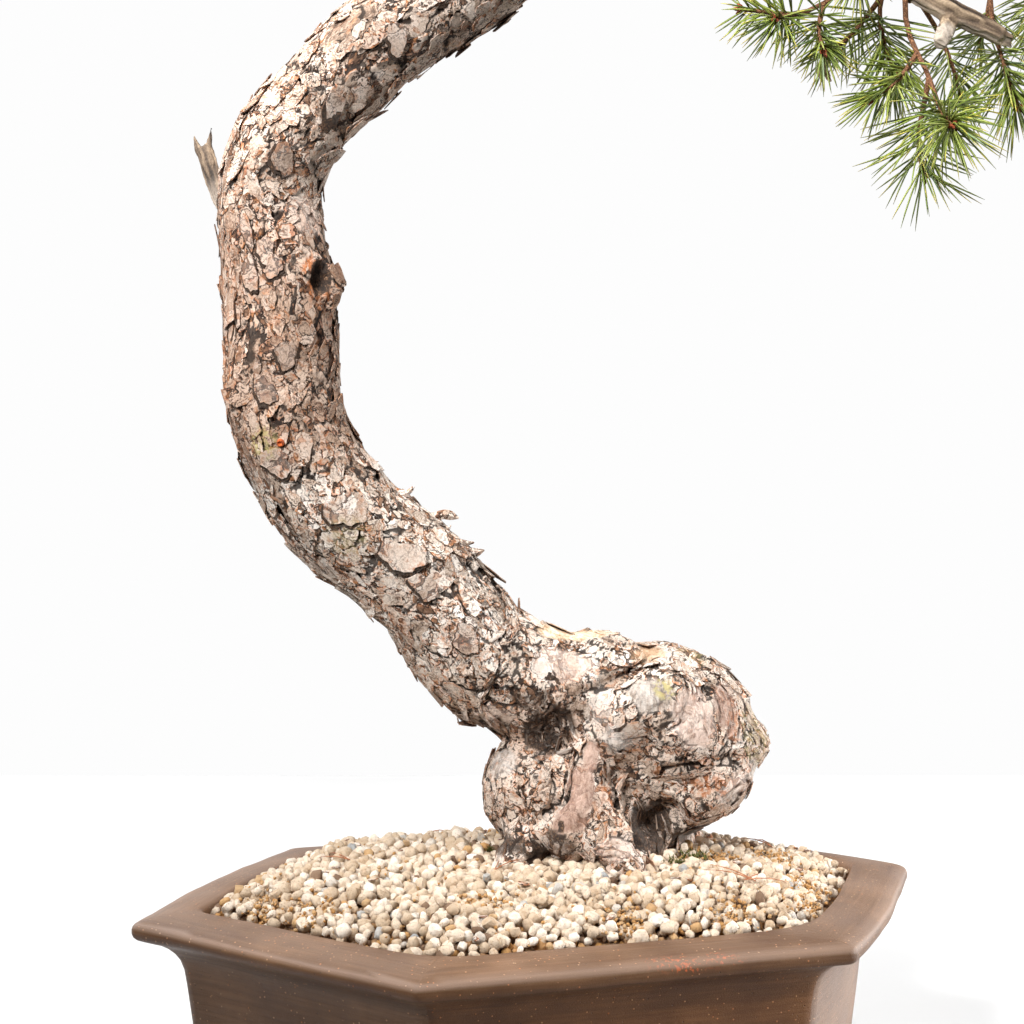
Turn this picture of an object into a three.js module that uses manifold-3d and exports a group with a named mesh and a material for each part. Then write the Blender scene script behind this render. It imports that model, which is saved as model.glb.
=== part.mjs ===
// A Scots pine grown as a bonsai, in a hexagonal unglazed pot.
// Millimetres, +Z up. The origin is the middle of the pot's underside. The tree's front faces -Y.
import * as THREE from "three";
import { mergeVertices } from "three/addons/utils/BufferGeometryUtils.js";
import Module from "manifold-3d";

const wasm = await Module();
wasm.setup();

// Driving dimensions of the pot
const rimHalfLength = 204;
const rimHalfWidth = 140;
const potHeight = 125;
const potTurn = THREE.MathUtils.degToRad(17.4);
const floorTop = 18;
const footHeight = 7;
const footInset = 40;
const padRadius = 24;
const drainRadius = 13;
const drainOffset = 70;

// Driving dimensions of what fills it
const gap = 0.35;
const soilTop = 104;
const mouthInset = 27;
const gravelEdgeTop = 121;
const moundRise = 18;
const moundReach = 24;
const pebblePitch = 13.6;
const pebbleRelief = 3;

// Driving dimensions of the tree
const barkRelief = 2.4;
const barkGrain = 9;
const shootRadius = 1.3;
const shootSides = 3;
const bareRingPitch = 9;
const tuftRings = 10;
const tuftLength = 26;
const budLength = 5;
const needleLength = 33;
const needleRadius = 0.75;
const pairSpread = 0.1;
const goldenAngle = Math.PI * (3 - Math.sqrt(5));

// Solids

// Joins the vertices of a three.js geometry that share a place, which a closed solid needs.
function welded(geometry) {
  const bare = geometry.clone();
  bare.deleteAttribute("normal");
  bare.deleteAttribute("uv");
  return mergeVertices(bare, 1e-4);
}

function solidOf(geometry) {
  const closed = welded(geometry);
  return new wasm.Manifold(
    new wasm.Mesh({
      numProp: 3,
      vertProperties: new Float32Array(closed.attributes.position.array),
      triVerts: new Uint32Array(closed.index.array),
    }),
  );
}

function geometryOf(solid) {
  const mesh = solid.getMesh();
  const geometry = new THREE.BufferGeometry();
  geometry.setAttribute("position", new THREE.BufferAttribute(mesh.vertProperties, mesh.numProp));
  geometry.setIndex(new THREE.BufferAttribute(mesh.triVerts, 1));
  geometry.computeVertexNormals();
  return geometry;
}

function joined(solids) {
  return solids.reduce((whole, piece) => whole.add(piece));
}

// A cut can leave scraps, and only the largest body is kept.
function largest(solid) {
  return solid.decompose().reduce((a, b) => (a.volume() > b.volume() ? a : b));
}

// Chance and roughness

// The same share of 0 to 1 for the same three numbers, whatever the order of the calls.
function chance(i, j = 0, k = 0) {
  const s = Math.sin(i * 127.1 + j * 311.7 + k * 74.7) * 43758.5453;
  return s - Math.floor(s);
}

// Smooth roughness between -1 and 1, with one lump to each unit of length.
function lumps(p) {
  const base = [p.x, p.y, p.z].map(Math.floor);
  const part = [p.x - base[0], p.y - base[1], p.z - base[2]].map((f) => f * f * (3 - 2 * f));
  let sum = 0;
  for (let corner = 0; corner < 8; corner++) {
    const step = [corner & 1, (corner >> 1) & 1, corner >> 2];
    const weight = step.reduce((w, s, axis) => w * (s ? part[axis] : 1 - part[axis]), 1);
    sum += weight * chance(...base.map((b, axis) => b + step[axis]));
  }
  return 2 * sum - 1;
}

const vector = (xyz) => new THREE.Vector3(...xyz);

// A tapering limb along a smooth line, round or flattened, with bark relief.
// Its stations are [x, y, z, radius], and grow makes it that much thicker all round.
// Place gives each ring's share of the length.
function limbGeometry(stations, options = {}) {
  const { sides = 8, rings = 8, relief = 0, flat = 1, grow = 0, place = (n) => n / rings } = options;
  const line = new THREE.CatmullRomCurve3(stations.map((s) => vector(s)));
  const radii = stations.map((s) => s[3]);
  const geometry = welded(new THREE.CylinderGeometry(1, 1, 1, sides, rings));
  const frames = [];
  let side = new THREE.Vector3(0, 1, 0);
  for (let ring = 0; ring <= rings; ring++) {
    const share = line.getUtoTmapping(place(ring)) * (stations.length - 1);
    const before = Math.min(Math.floor(share), stations.length - 2);
    const ahead = line.getTangentAt(place(ring));
    side = side.clone().addScaledVector(ahead, -side.dot(ahead)).normalize();
    frames.push({
      middle: line.getPointAt(place(ring)),
      ahead,
      side,
      across: new THREE.Vector3().crossVectors(ahead, side),
      radius: THREE.MathUtils.lerp(radii[before], radii[before + 1], share - before),
    });
  }
  const position = geometry.attributes.position;
  for (let i = 0; i < position.count; i++) {
    const corner = new THREE.Vector3().fromBufferAttribute(position, i);
    const ring = Math.round((corner.y + 0.5) * rings);
    const { middle, ahead, side: first, across, radius } = frames[ring];
    const out = new THREE.Vector3()
      .addScaledVector(first, corner.x * flat)
      .addScaledVector(across, -corner.z);
    const skin = middle.clone().addScaledVector(out, radius);
    const rough = out.length() > 0.1 ? relief * lumps(skin.clone().divideScalar(barkGrain)) : 0;
    skin.addScaledVector(out, grow + rough);
    const end = ring === 0 ? -1 : ring === rings ? 1 : 0;
    skin.addScaledVector(ahead, end * grow);
    position.setXYZ(i, skin.x, skin.y, skin.z);
  }
  return geometry;
}

const limb = (stations, options) => solidOf(limbGeometry(stations, options));

// A rounded lump of wood with bark relief. Tilt turns it about Y, in degrees.
function knob([x, y, z], radii, { detail = 4, tilt = 0, relief = barkRelief, grow = 0 } = {}) {
  const geometry = welded(new THREE.IcosahedronGeometry(1, detail));
  const turn = new THREE.Matrix4().makeRotationY(THREE.MathUtils.degToRad(tilt));
  const position = geometry.attributes.position;
  for (let i = 0; i < position.count; i++) {
    const out = new THREE.Vector3().fromBufferAttribute(position, i);
    const skin = out.clone().multiply(vector(radii)).applyMatrix4(turn).add(new THREE.Vector3(x, y, z));
    out.divide(vector(radii)).normalize().applyMatrix4(turn);
    skin.addScaledVector(out, grow + relief * lumps(skin.clone().divideScalar(barkGrain)));
    position.setXYZ(i, skin.x, skin.y, skin.z);
  }
  return solidOf(geometry);
}

// The pot

// The rim's outline before its corners are rounded, from the right-hand tip round to the left.
const rimCorners = [
  [rimHalfLength, 0],
  [rimHalfLength / 2, rimHalfWidth],
  [-rimHalfLength / 2, rimHalfWidth],
  [-rimHalfLength, 0],
  [-rimHalfLength / 2, -rimHalfWidth],
  [rimHalfLength / 2, -rimHalfWidth],
].map(([x, y]) => new THREE.Vector2(x, y));

const rimSides = rimCorners.map((corner, i) => {
  const along = rimCorners[(i + 1) % 6].clone().sub(corner).normalize();
  return { corner, along, inward: new THREE.Vector2(-along.y, along.x) };
});

// How far a point lies inside the rim's outline, in the pot's own axes.
function insideRim(x, y) {
  const point = new THREE.Vector2(x, y);
  return Math.min(...rimSides.map((s) => point.clone().sub(s.corner).dot(s.inward)));
}

// The outline moved inwards, with rounded corners. The two tips have one radius, the four side corners another.
function outline(inset, tipRadius, sideRadius, steps = 3) {
  const points = [];
  rimSides.forEach((after, i) => {
    const before = rimSides[(i + 5) % 6];
    const half = Math.acos(before.along.dot(after.along)) / 2;
    const bisector = before.inward.clone().add(after.inward).normalize();
    const radius = i % 3 === 0 ? tipRadius : sideRadius;
    const centre = after.corner.clone().addScaledVector(bisector, (inset + radius) / Math.cos(half));
    for (let step = 0; step <= steps; step++) {
      const angle = half * (2 * (step / steps) - 1);
      const out = bisector.clone().negate().rotateAround(new THREE.Vector2(), angle);
      points.push(centre.clone().addScaledVector(out, radius));
    }
  });
  return points;
}

// Rings of equal count, joined from the first to the last and closed at both ends.
function lofted(rings) {
  const count = rings[0].length;
  const points = rings.flat();
  const index = [];
  for (let r = 0; r + 1 < rings.length; r++) {
    for (let i = 0; i < count; i++) {
      const a = r * count + i;
      const b = r * count + ((i + 1) % count);
      index.push(a, b, b + count, a, b + count, a + count);
    }
  }
  const ends = [
    [0, rings[0], false],
    [(rings.length - 1) * count, rings[rings.length - 1], true],
  ];
  for (const [first, ring, up] of ends) {
    const middle = points.length;
    points.push(new THREE.Vector3(0, 0, ring[0].z));
    for (let i = 0; i < count; i++) {
      const a = first + i;
      const b = first + ((i + 1) % count);
      index.push(middle, up ? a : b, up ? b : a);
    }
  }
  const geometry = new THREE.BufferGeometry().setFromPoints(points);
  return solidOf(geometry.setIndex(index));
}

// Each row is [inset from the rim, height, tip radius, side corner radius].
const outerWall = [
  [30, 0, 8, 10],
  [26.5, 40, 8, 10],
  [22, 90, 8, 10],
  [20, 101, 8, 10],
  [15.5, 108, 8, 10],
  [9, 112, 8, 10],
  [3.2, 114.2, 7, 8],
  [0.6, 116, 6, 7],
  [0, 119, 6, 7],
  [0.8, 122.6, 6, 7],
  [3.5, 124.6, 7, 8],
];
const innerWall = [
  [24, potHeight, 10, 46],
  [mouthInset, 123.5, 10, 46],
  [29.5, 117, 12, 46],
  [33, 103, 14, 44],
  [38, floorTop + 6, 16, 40],
  [46, floorTop, 16, 36],
];

const ring = ([inset, height, tipRadius, sideRadius]) =>
  outline(inset, tipRadius, sideRadius).map((p) => new THREE.Vector3(p.x, p.y, height));

// A cylinder standing on the pot's floor plan, for a hole or a pad.
function upright(radius, low, high, x, y, sides = 20) {
  const cylinder = new THREE.CylinderGeometry(radius, radius, high - low, sides);
  return solidOf(cylinder.rotateX(Math.PI / 2).translate(x, y, (low + high) / 2));
}

function makePot() {
  let pot = lofted([...outerWall, ...innerWall].map(ring));
  const underside = [-1, footHeight].map((z) => ring([footInset, z, 10, 12]));
  pot = pot.subtract(lofted(underside).subtract(upright(padRadius, -2, footHeight + 1, 0, 0)));
  for (const { corner, along, inward } of rimSides) {
    const reach = Math.abs(inward.x) < 0.1 ? 90 : 66;
    const gapBox = new THREE.BoxGeometry(reach, 30, footHeight + 1);
    const middle = corner.clone().addScaledVector(along, 87).addScaledVector(inward, footInset - 14);
    if (Math.abs(inward.x) < 0.1) middle.x = 0;
    gapBox.rotateZ(Math.atan2(along.y, along.x));
    gapBox.translate(middle.x, middle.y, (footHeight - 1) / 2);
    pot = pot.subtract(solidOf(gapBox));
  }
  for (const x of [-drainOffset, drainOffset]) {
    pot = pot.subtract(upright(drainRadius, -1, floorTop + 1, x, 0));
  }
  return pot;
}

// A flat net that lies on the floor over a drain hole.
const netSize = 36;
const netThickness = 1.6;

function makeDrainNet(x) {
  let net = solidOf(new THREE.BoxGeometry(netSize, netSize, netThickness));
  for (const hx of [-8, 8]) {
    for (const hy of [-8, 8]) {
      net = net.subtract(solidOf(new THREE.BoxGeometry(11, 11, 3 * netThickness).translate(hx, hy, 0)));
    }
  }
  return net.translate([x, 0, floorTop + gap + netThickness / 2]);
}

// The space inside the pot, a little clear of its wall, up to a height.
function potSpace(top) {
  const rows = innerWall
    .slice()
    .reverse()
    .map(([inset, height, tip, side]) => [inset + 0.5, height + (height === floorTop ? gap : 0), tip, side]);
  const within = rows.filter(([, height]) => height < top - 2);
  const last = rows[Math.min(within.length, rows.length - 1)];
  return lofted([...within, [last[0], top, last[2], last[3]]].map(ring));
}

// The height of the heaped top layer: low at the wall and level further in.
function moundHeight(x, y) {
  const inside = Math.max(0, insideRim(x, y) - mouthInset);
  return gravelEdgeTop + moundRise * (1 - Math.exp(-inside / moundReach));
}

// A block whose top is a close field of pebbles, one to every third point of a lattice.
function pebbleField(bottom) {
  const rowPitch = pebblePitch * 0.866;
  const columns = Math.ceil((2 * rimHalfLength) / pebblePitch) + 1;
  const rows = Math.ceil((2 * rimHalfWidth) / rowPitch) + 1;
  const points = [];
  for (let j = 0; j < rows; j++) {
    for (let i = 0; i < columns; i++) {
      const inner = i > 0 && j > 0 && i < columns - 1 && j < rows - 1 ? 1 : 0;
      const stray = (seed) => inner * pebblePitch * 0.36 * (chance(i, j, seed) - 0.5);
      const x = (i + (j % 2) / 2) * pebblePitch - rimHalfLength + stray(1);
      const y = j * rowPitch - rimHalfWidth + stray(2);
      const peak = (((i - Math.floor(j / 2) - j) % 3) + 3) % 3 === 0;
      const rise = (peak ? 1 : -0.6) * pebbleRelief * (0.7 + 0.6 * chance(i, j, 3));
      points.push(new THREE.Vector3(x, y, moundHeight(x, y) + rise));
    }
  }
  const at = (i, j) => j * columns + i;
  const index = [];
  for (let j = 0; j + 1 < rows; j++) {
    for (let i = 0; i + 1 < columns; i++) {
      const [a, b, c, d] = [at(i, j), at(i + 1, j), at(i + 1, j + 1), at(i, j + 1)];
      if (j % 2) index.push(a, b, c, a, c, d);
      else index.push(a, b, d, b, c, d);
    }
  }
  const border = [];
  for (let i = 0; i < columns - 1; i++) border.push(at(i, 0));
  for (let j = 0; j < rows - 1; j++) border.push(at(columns - 1, j));
  for (let i = columns - 1; i > 0; i--) border.push(at(i, rows - 1));
  for (let j = rows - 1; j > 0; j--) border.push(at(0, j));
  const under = points.length;
  border.forEach((p) => points.push(new THREE.Vector3(points[p].x, points[p].y, bottom)));
  const middle = points.length;
  points.push(new THREE.Vector3(0, 0, bottom));
  border.forEach((p, n) => {
    const m = (n + 1) % border.length;
    index.push(p, under + n, border[m], border[m], under + n, under + m);
    index.push(middle, under + m, under + n);
  });
  return solidOf(new THREE.BufferGeometry().setFromPoints(points).setIndex(index));
}

// The tree's wood

// Stations of the trunk, from inside the root mass up its bends to the top: [x, y, z, radius].
const trunkLine = [
  [38, 31, 212, 23],
  [5, 27, 219, 31],
  [-32, 24, 238, 31],
  [-52, 18, 266, 29],
  [-72, 14, 287, 29],
  [-100, 8, 309, 30],
  [-118, 4, 334, 28],
  [-127, 0, 360, 28],
  [-130, -2, 385, 29],
  [-130, -4, 413, 27],
  [-132, -4, 438, 28],
  [-136, -4, 464, 25],
  [-133, -4, 485, 24],
  [-122, -4, 503, 24],
  [-106, -2, 522, 23],
  [-88, 0, 541, 24],
  [-65, 2, 558, 24],
  [-39, 4, 573, 23],
  [-11, 6, 592, 22],
  [19, 10, 616, 20],
  [49, 14, 645, 19],
  [73, 16, 677, 16],
  [81, 12, 713, 13],
  [75, 4, 746, 10],
  [61, -6, 773, 6],
  [51, -10, 796, 3],
];

// The main branches, each from inside the wood that bears it.
const branchLines = {
  cascade: [
    [49, 14, 645, 12],
    [88, 8, 652, 11],
    [127, -2, 634, 10],
    [158, -8, 604, 8.5],
    [174, -11, 580, 7],
    [182, -12, 566, 6],
  ],
  outer: [
    [124, -2, 636, 7],
    [170, 6, 638, 6],
    [212, 10, 620, 4.5],
    [246, 8, 592, 3.5],
    [260, 6, 568, 2.5],
  ],
  right: [
    [80, 12, 700, 8],
    [115, 6, 716, 6],
    [152, -2, 714, 4.5],
    [184, -8, 702, 3],
  ],
  left: [
    [72, 16, 674, 8],
    [44, 6, 694, 6],
    [8, -4, 704, 4.5],
    [-24, -10, 702, 3],
  ],
  back: [
    [73, 16, 684, 7],
    [84, 50, 696, 5.5],
    [94, 84, 692, 3.5],
  ],
  front: [
    [62, 16, 660, 7],
    [48, -16, 672, 5],
    [38, -44, 668, 3],
  ],
};

// Thick roots, from the root mass down into the soil.
const rootLines = [
  [[10, 20, 150, 24], [-14, 2, 118, 17], [-52, -22, 92, 9], [-84, -34, 70, 4]],
  [[40, 14, 150, 22], [44, -10, 122, 15], [62, -44, 94, 8], [82, -62, 72, 4]],
  [[52, 40, 150, 24], [84, 56, 116, 15], [108, 62, 90, 8], [132, 54, 66, 4]],
  [[16, 52, 150, 22], [-8, 76, 116, 14], [-40, 84, 90, 8], [-72, 78, 68, 4]],
];

// The swollen root mass: a foot, a left knuckle, the burl with its jaw, and the shoulder that carries the trunk.
function rootMass(grow) {
  const lumpsOfWood = [
    knob([28, 34, 150], [47, 44, 42], { detail: 3, grow }),
    knob([-2, 20, 170], [29, 28, 30], { detail: 3, grow }),
    knob([64, 32, 199], [49, 44, 43], { tilt: 24, grow }),
    knob([94, 30, 194], [24, 27, 19], { detail: 2, tilt: 8, grow }),
    knob([30, 31, 223], [34, 32, 27], { detail: 3, tilt: 14, grow }),
    knob([50, 6, 213], [33, 20, 18], { detail: 3, tilt: -22, grow }),
    knob([39, 2, 200], [17, 16, 13], { detail: 2, grow }),
    knob([80, 18, 171], [31, 27, 18], { detail: 3, tilt: -34, grow }),
  ];
  const surfaceRoots = [
    [[22, 6, 196, 9], [23, -4, 178, 11], [18, -8, 160, 13], [8, -8, 144, 11]],
    [[30, 2, 168, 13], [31, -14, 152, 12], [42, -26, 137, 9], [56, -36, 122, 6]],
    [[0, 12, 162, 15], [-8, -2, 146, 13], [-18, -14, 128, 9]],
  ].map((line) => limb(line, { sides: 8, rings: 5, relief: 1.6, grow }));
  return joined([...lumpsOfWood, ...surfaceRoots]);
}

// The deep folds under the trunk and under the burl, and the hole in the old branch scar.
function hollows(grow) {
  return joined([
    knob([5, -7, 203], [12, 15, 14], { detail: 2, grow: -grow }),
    knob([60, -6, 158], [14, 18, 13], { detail: 2, grow: -grow }),
    knob([-105, -26, 424], [4.6, 7, 7.6], { detail: 1, relief: 0, grow: -grow }),
  ]);
}

// All the bark-covered wood, as thick as grown or a little thicker, to cut a clear seat for what meets it.
function makeTrunk(grow = 0) {
  const trunk = limb(trunkLine, { sides: 12, rings: 46, relief: barkRelief, grow });
  const branches = Object.values(branchLines).map((line) => limb(line, { sides: 6, rings: 6, relief: 0.9, grow }));
  const roots = rootLines.map((line) => limb(line, { sides: 6, rings: 5, relief: 1.2, grow }));
  const scarLips = knob([-108, -17, 424], [10, 8, 12], { detail: 1, relief: 0.6, grow });
  return joined([rootMass(grow), trunk, scarLips, ...branches, ...roots]).subtract(hollows(grow));
}

// Dead wood, bare and bleached: each piece is a core with splinters at its torn end.
const deadWood = {
  deadwood_left: {
    core: [[-146, 4, 444, 3.4], [-160, 8, 466, 4.2], [-167, 11, 486, 5], [-171, 14, 497, 4.6]],
    flat: 0.55,
    splinters: [
      [[-173, 14, 494, 2.4], [-176, 15, 503, 0.5]],
      [[-168, 13, 494, 2.2], [-167, 14, 507, 0.5]],
    ],
  },
  deadwood_right: {
    core: [[180, -12, 569, 4.8], [193, -12, 562, 6.2], [211, -13, 553, 5.6], [224, -14, 546, 4.8]],
    flat: 0.9,
    splinters: [
      [[199, -13, 556, 4.4], [196, -15, 548, 5], [192, -20, 541, 4]],
      [[221, -14, 548, 3.6], [229, -15, 545, 2]],
      [[221, -13, 546, 2.6], [229, -14, 541, 1]],
    ],
  },
};

function makeDeadWood({ core, flat, splinters }) {
  const spikes = splinters.map((line) => limb(line, { sides: 5, rings: 2 }));
  return joined([limb(core, { sides: 7, rings: 6, flat, relief: 0.5 }), ...spikes]);
}

// The leafy stems. Each leaves a branch at a share of its length. The first shoot runs through its points to
// its tip, and the others fork from it at their own shares.
const trunkTop = trunkLine.slice(-4);
const sprays = [
  {
    name: "cascade_1",
    from: [branchLines.cascade, 0.8],
    shoots: [[[151, -13, 574], [127, -14, 558], [94, -12, 560]], [[110, -29, 551]], [[135, -31, 534]]],
    forks: [0.66, 0.5],
  },
  {
    name: "cascade_2",
    from: [branchLines.cascade, 0.88],
    shoots: [[[166, -4, 562], [168, -3, 547], [176, 4, 529]], [[140, 6, 540]]],
    forks: [0.3],
  },
  {
    name: "cascade_3",
    from: [branchLines.cascade, 0.94],
    shoots: [
      [[177, -16, 550], [185, -27, 525], [189, -38, 506], [190, -60, 495]],
      [[156, -24, 513]],
      [[183, -16, 494], [186, -18, 476]],
    ],
    forks: [0.4, 0.55],
  },
  {
    name: "cascade_4",
    from: [branchLines.cascade, 0.9],
    shoots: [[[184, 4, 572], [198, 11, 554], [206, 13, 537], [211, 14, 520]]],
  },
  { name: "cascade_5", from: [branchLines.cascade, 0.5], shoots: [[[124, -38, 598]], [[100, -26, 614]]] },
  { name: "cascade_6", from: [branchLines.cascade, 0.4], shoots: [[[96, 34, 606]], [[132, 38, 604]]] },
  {
    name: "outer_1",
    from: [branchLines.outer, 0.7],
    shoots: [[[222, 2, 566], [227, -6, 534], [234, -9, 511]], [[222, 26, 548]]],
    forks: [0.4],
  },
  {
    name: "outer_2",
    from: [branchLines.outer, 0.99],
    shoots: [[[258, -4, 540], [255, -14, 508]], [[286, -6, 541]], [[268, -40, 545]]],
  },
  { name: "outer_3", from: [branchLines.outer, 0.88], shoots: [[[254, 40, 562]], [[284, 30, 586]]] },
  { name: "outer_4", from: [branchLines.outer, 0.42], shoots: [[[196, -32, 618]], [[224, -24, 641]]] },
  { name: "outer_5", from: [branchLines.outer, 0.55], shoots: [[[200, 46, 622]], [[238, 44, 610]]] },
  { name: "right_1", from: [branchLines.right, 0.98], shoots: [[[213, -10, 704]], [[203, -40, 697]]] },
  { name: "right_2", from: [branchLines.right, 0.75], shoots: [[[182, 28, 714]], [[194, 8, 733]]] },
  { name: "right_3", from: [branchLines.right, 0.55], shoots: [[[150, -40, 718]], [[166, -18, 741]]] },
  { name: "right_4", from: [branchLines.right, 0.38], shoots: [[[132, 36, 724]], [[126, -4, 751]]] },
  { name: "left_1", from: [branchLines.left, 0.98], shoots: [[[-55, -12, 700]], [[-44, 18, 706]]] },
  { name: "left_2", from: [branchLines.left, 0.74], shoots: [[[-30, -46, 702]], [[-8, -26, 727]]] },
  { name: "left_3", from: [branchLines.left, 0.5], shoots: [[[-2, 34, 716]], [[26, -32, 720]]] },
  { name: "top_1", from: [trunkTop, 0.98], shoots: [[[50, -16, 829]], [[20, -22, 814]]] },
  { name: "top_2", from: [trunkTop, 0.76], shoots: [[[88, -18, 808]], [[64, 24, 812]]] },
  { name: "top_3", from: [trunkTop, 0.62], shoots: [[[10, 10, 788]], [[30, -50, 792]]] },
  { name: "top_4", from: [trunkTop, 0.42], shoots: [[[106, 10, 786]], [[94, -44, 780]]] },
  { name: "back_1", from: [branchLines.back, 0.98], shoots: [[[98, 122, 688]], [[128, 104, 692]]] },
  { name: "back_2", from: [branchLines.back, 0.7], shoots: [[[62, 92, 702]], [[98, 66, 726]]] },
  { name: "front_1", from: [branchLines.front, 0.97], shoots: [[[24, -80, 664]], [[60, -72, 668]]] },
];

// Shortest distance between two straight segments.
function segmentGap(p1, q1, p2, q2) {
  const d1 = q1.clone().sub(p1);
  const d2 = q2.clone().sub(p2);
  const r = p1.clone().sub(p2);
  const a = d1.dot(d1);
  const e = d2.dot(d2);
  const b = d1.dot(d2);
  const c = d1.dot(r);
  const f = d2.dot(r);
  const clamp = (v) => Math.min(1, Math.max(0, v));
  const denominator = a * e - b * b;
  let s = denominator > 1e-9 ? clamp((b * f - c * e) / denominator) : 0;
  const t = clamp((b * s + f) / e);
  s = clamp((b * t - c) / a);
  return p1.clone().addScaledVector(d1, s).distanceTo(p2.clone().addScaledVector(d2, t));
}

// Everything that a needle keeps clear of, as thick segments, each with the node that owns it.
const taken = [];

function claim(owner, line, radius) {
  for (let i = 0; i + 1 < line.length; i++) {
    taken.push({ owner, from: line[i], to: line[i + 1], radius });
  }
}

function claimWood(owner, stations, relief) {
  for (let i = 0; i + 1 < stations.length; i++) {
    const radius = Math.max(stations[i][3], stations[i + 1][3]) + relief;
    claim(owner, [vector(stations[i]), vector(stations[i + 1])], radius);
  }
}

function isClear(owner, from, to) {
  return taken.every(
    (piece) =>
      piece.owner === owner ||
      piece.from.distanceTo(from) > 110 ||
      segmentGap(piece.from, piece.to, from, to) > piece.radius + needleRadius + gap,
  );
}

// The curves of a spray's shoots.
function shootLines({ from: [stations, at], shoots, forks = [0.28, 0.44] }) {
  const parent = new THREE.CatmullRomCurve3(stations.map((s) => vector(s)));
  const lines = [];
  shoots.forEach((points, n) => {
    const [bearer, share] = n === 0 ? [parent, at] : [lines[0], forks[n - 1]];
    const start = bearer.getPointAt(share);
    const route = points.map((xyz) => vector(xyz));
    if (route.length === 1) {
      const lead = bearer.getTangentAt(share).multiplyScalar(0.1 * start.distanceTo(route[0]));
      route.unshift(start.clone().lerp(route[0], 0.45).add(lead));
    }
    lines.push(new THREE.CatmullRomCurve3([start, ...route]));
  });
  return lines;
}

// The tip and direction of a needle pair that leaves its shoot near a turn and clears every other node.
function pairAim(owner, root, ahead, turn, lean) {
  const side = new THREE.Vector3(0.31, 0.2, 0.93).cross(ahead).normalize();
  for (let attempt = 0; attempt < 16; attempt++) {
    const swing = (attempt % 2 ? 1 : -1) * Math.ceil(attempt / 2) * 0.09;
    const rise = Math.max(0.2, lean * (1 - 0.045 * attempt));
    const out = side.clone().applyAxisAngle(ahead, turn + swing);
    const aim = ahead.clone().multiplyScalar(Math.cos(rise)).addScaledVector(out, Math.sin(rise));
    const spread = new THREE.Vector3().crossVectors(aim, out).normalize().multiplyScalar(pairSpread);
    const aims = [aim.clone().sub(spread).normalize(), aim.clone().add(spread).normalize()];
    const tips = aims.map((a) => root.clone().addScaledVector(a, needleLength));
    if (tips.every((tip) => isClear(owner, root, tip))) return { out, tips };
  }
  return null;
}

// One leafy shoot. Its needles are drawn out of the facets round its last stretch, a pair to each ring.
function makeShoot(owner, line, thickness, seed) {
  const length = line.getLength();
  const leafy = Math.min(tuftLength, 0.9 * length - budLength) / length;
  const bare = 1 - leafy - budLength / length;
  const bareRings = Math.max(2, Math.round((bare * length) / bareRingPitch));
  const rings = bareRings + tuftRings + 2;
  const place = (n) => {
    if (n <= bareRings) return (bare * n) / bareRings;
    if (n <= bareRings + tuftRings) return bare + (leafy * (n - bareRings)) / tuftRings;
    return n === rings ? 1 : 1 - (budLength * 0.6) / length;
  };
  const shares = [...Array(bareRings + 1).keys()].map(place);
  shares.push(1 - budLength / length, 1 - (budLength * 0.6) / length, 1);
  const budRadii = [0.8, 1.25, 0.25];
  const stations = shares.map((share, i) => {
    const radius = i > bareRings ? budRadii[i - bareRings - 1] : 1.1 - (0.15 * i) / bareRings;
    return [...line.getPointAt(share), thickness * radius];
  });
  const geometry = limbGeometry(stations, { sides: shootSides, rings, place });
  const corners = geometry.attributes.position;
  const points = [];
  for (let i = 0; i < corners.count; i++) points.push(new THREE.Vector3().fromBufferAttribute(corners, i));
  const index = [...geometry.index.array];
  for (let n = 0; n < tuftRings; n++) {
    const share = (n + 0.5) / tuftRings;
    const u = bare + leafy * share;
    const root = line.getPointAt(u);
    const ahead = line.getTangentAt(u);
    const pair = pairAim(owner, root, ahead, n * goldenAngle + seed, 1.2 - 0.75 * share);
    if (!pair) continue;
    const band = rings - 1 - (bareRings + n);
    const facing = [...Array(shootSides).keys()].map((side) => {
      const first = 6 * (side * rings + band);
      const middle = new THREE.Vector3();
      for (let k = 0; k < 6; k++) middle.addScaledVector(points[index[first + k]], 1 / 6);
      return { first, reach: middle.sub(root).dot(pair.out) };
    });
    const { first } = facing.reduce((a, b) => (a.reach > b.reach ? a : b));
    const facets = [index.slice(first, first + 3), index.slice(first + 3, first + 6)];
    const middles = facets.map((f) => f.reduce((sum, i) => sum.addScaledVector(points[i], 1 / 3), new THREE.Vector3()));
    const apart = middles[1].clone().sub(middles[0]).dot(pair.tips[1].clone().sub(pair.tips[0]));
    const tips = apart > 0 ? pair.tips : [pair.tips[1], pair.tips[0]];
    facets.forEach(([a, b, c], k) => {
      const tip = points.push(tips[k]) - 1;
      index.splice(first + 3 * k, 3, a, b, tip);
      index.push(b, c, tip, c, a, tip);
      claim(owner, [root, root.clone().lerp(tips[k], 0.25)], needleRadius);
      claim(owner + " outer", [root.clone().lerp(tips[k], 0.25), tips[k]], needleRadius);
    });
  }
  return solidOf(new THREE.BufferGeometry().setFromPoints(points).setIndex(index));
}

// Assembly

const finishes = {
  clay: new THREE.MeshStandardMaterial({ color: 0x6b5549, roughness: 0.75, metalness: 0 }),
  soil: new THREE.MeshStandardMaterial({ color: 0x4a3a2c, roughness: 1, metalness: 0 }),
  gravel: new THREE.MeshStandardMaterial({ color: 0xd8c6a4, roughness: 0.95, metalness: 0 }),
  plastic: new THREE.MeshStandardMaterial({ color: 0x1f2322, roughness: 0.6, metalness: 0 }),
  bark: new THREE.MeshStandardMaterial({ color: 0x9a8272, roughness: 0.95, metalness: 0 }),
  deadwood: new THREE.MeshStandardMaterial({ color: 0xb3a48e, roughness: 0.85, metalness: 0 }),
  needle: new THREE.MeshStandardMaterial({ color: 0x4f7a36, roughness: 0.5, metalness: 0 }),
};

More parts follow.
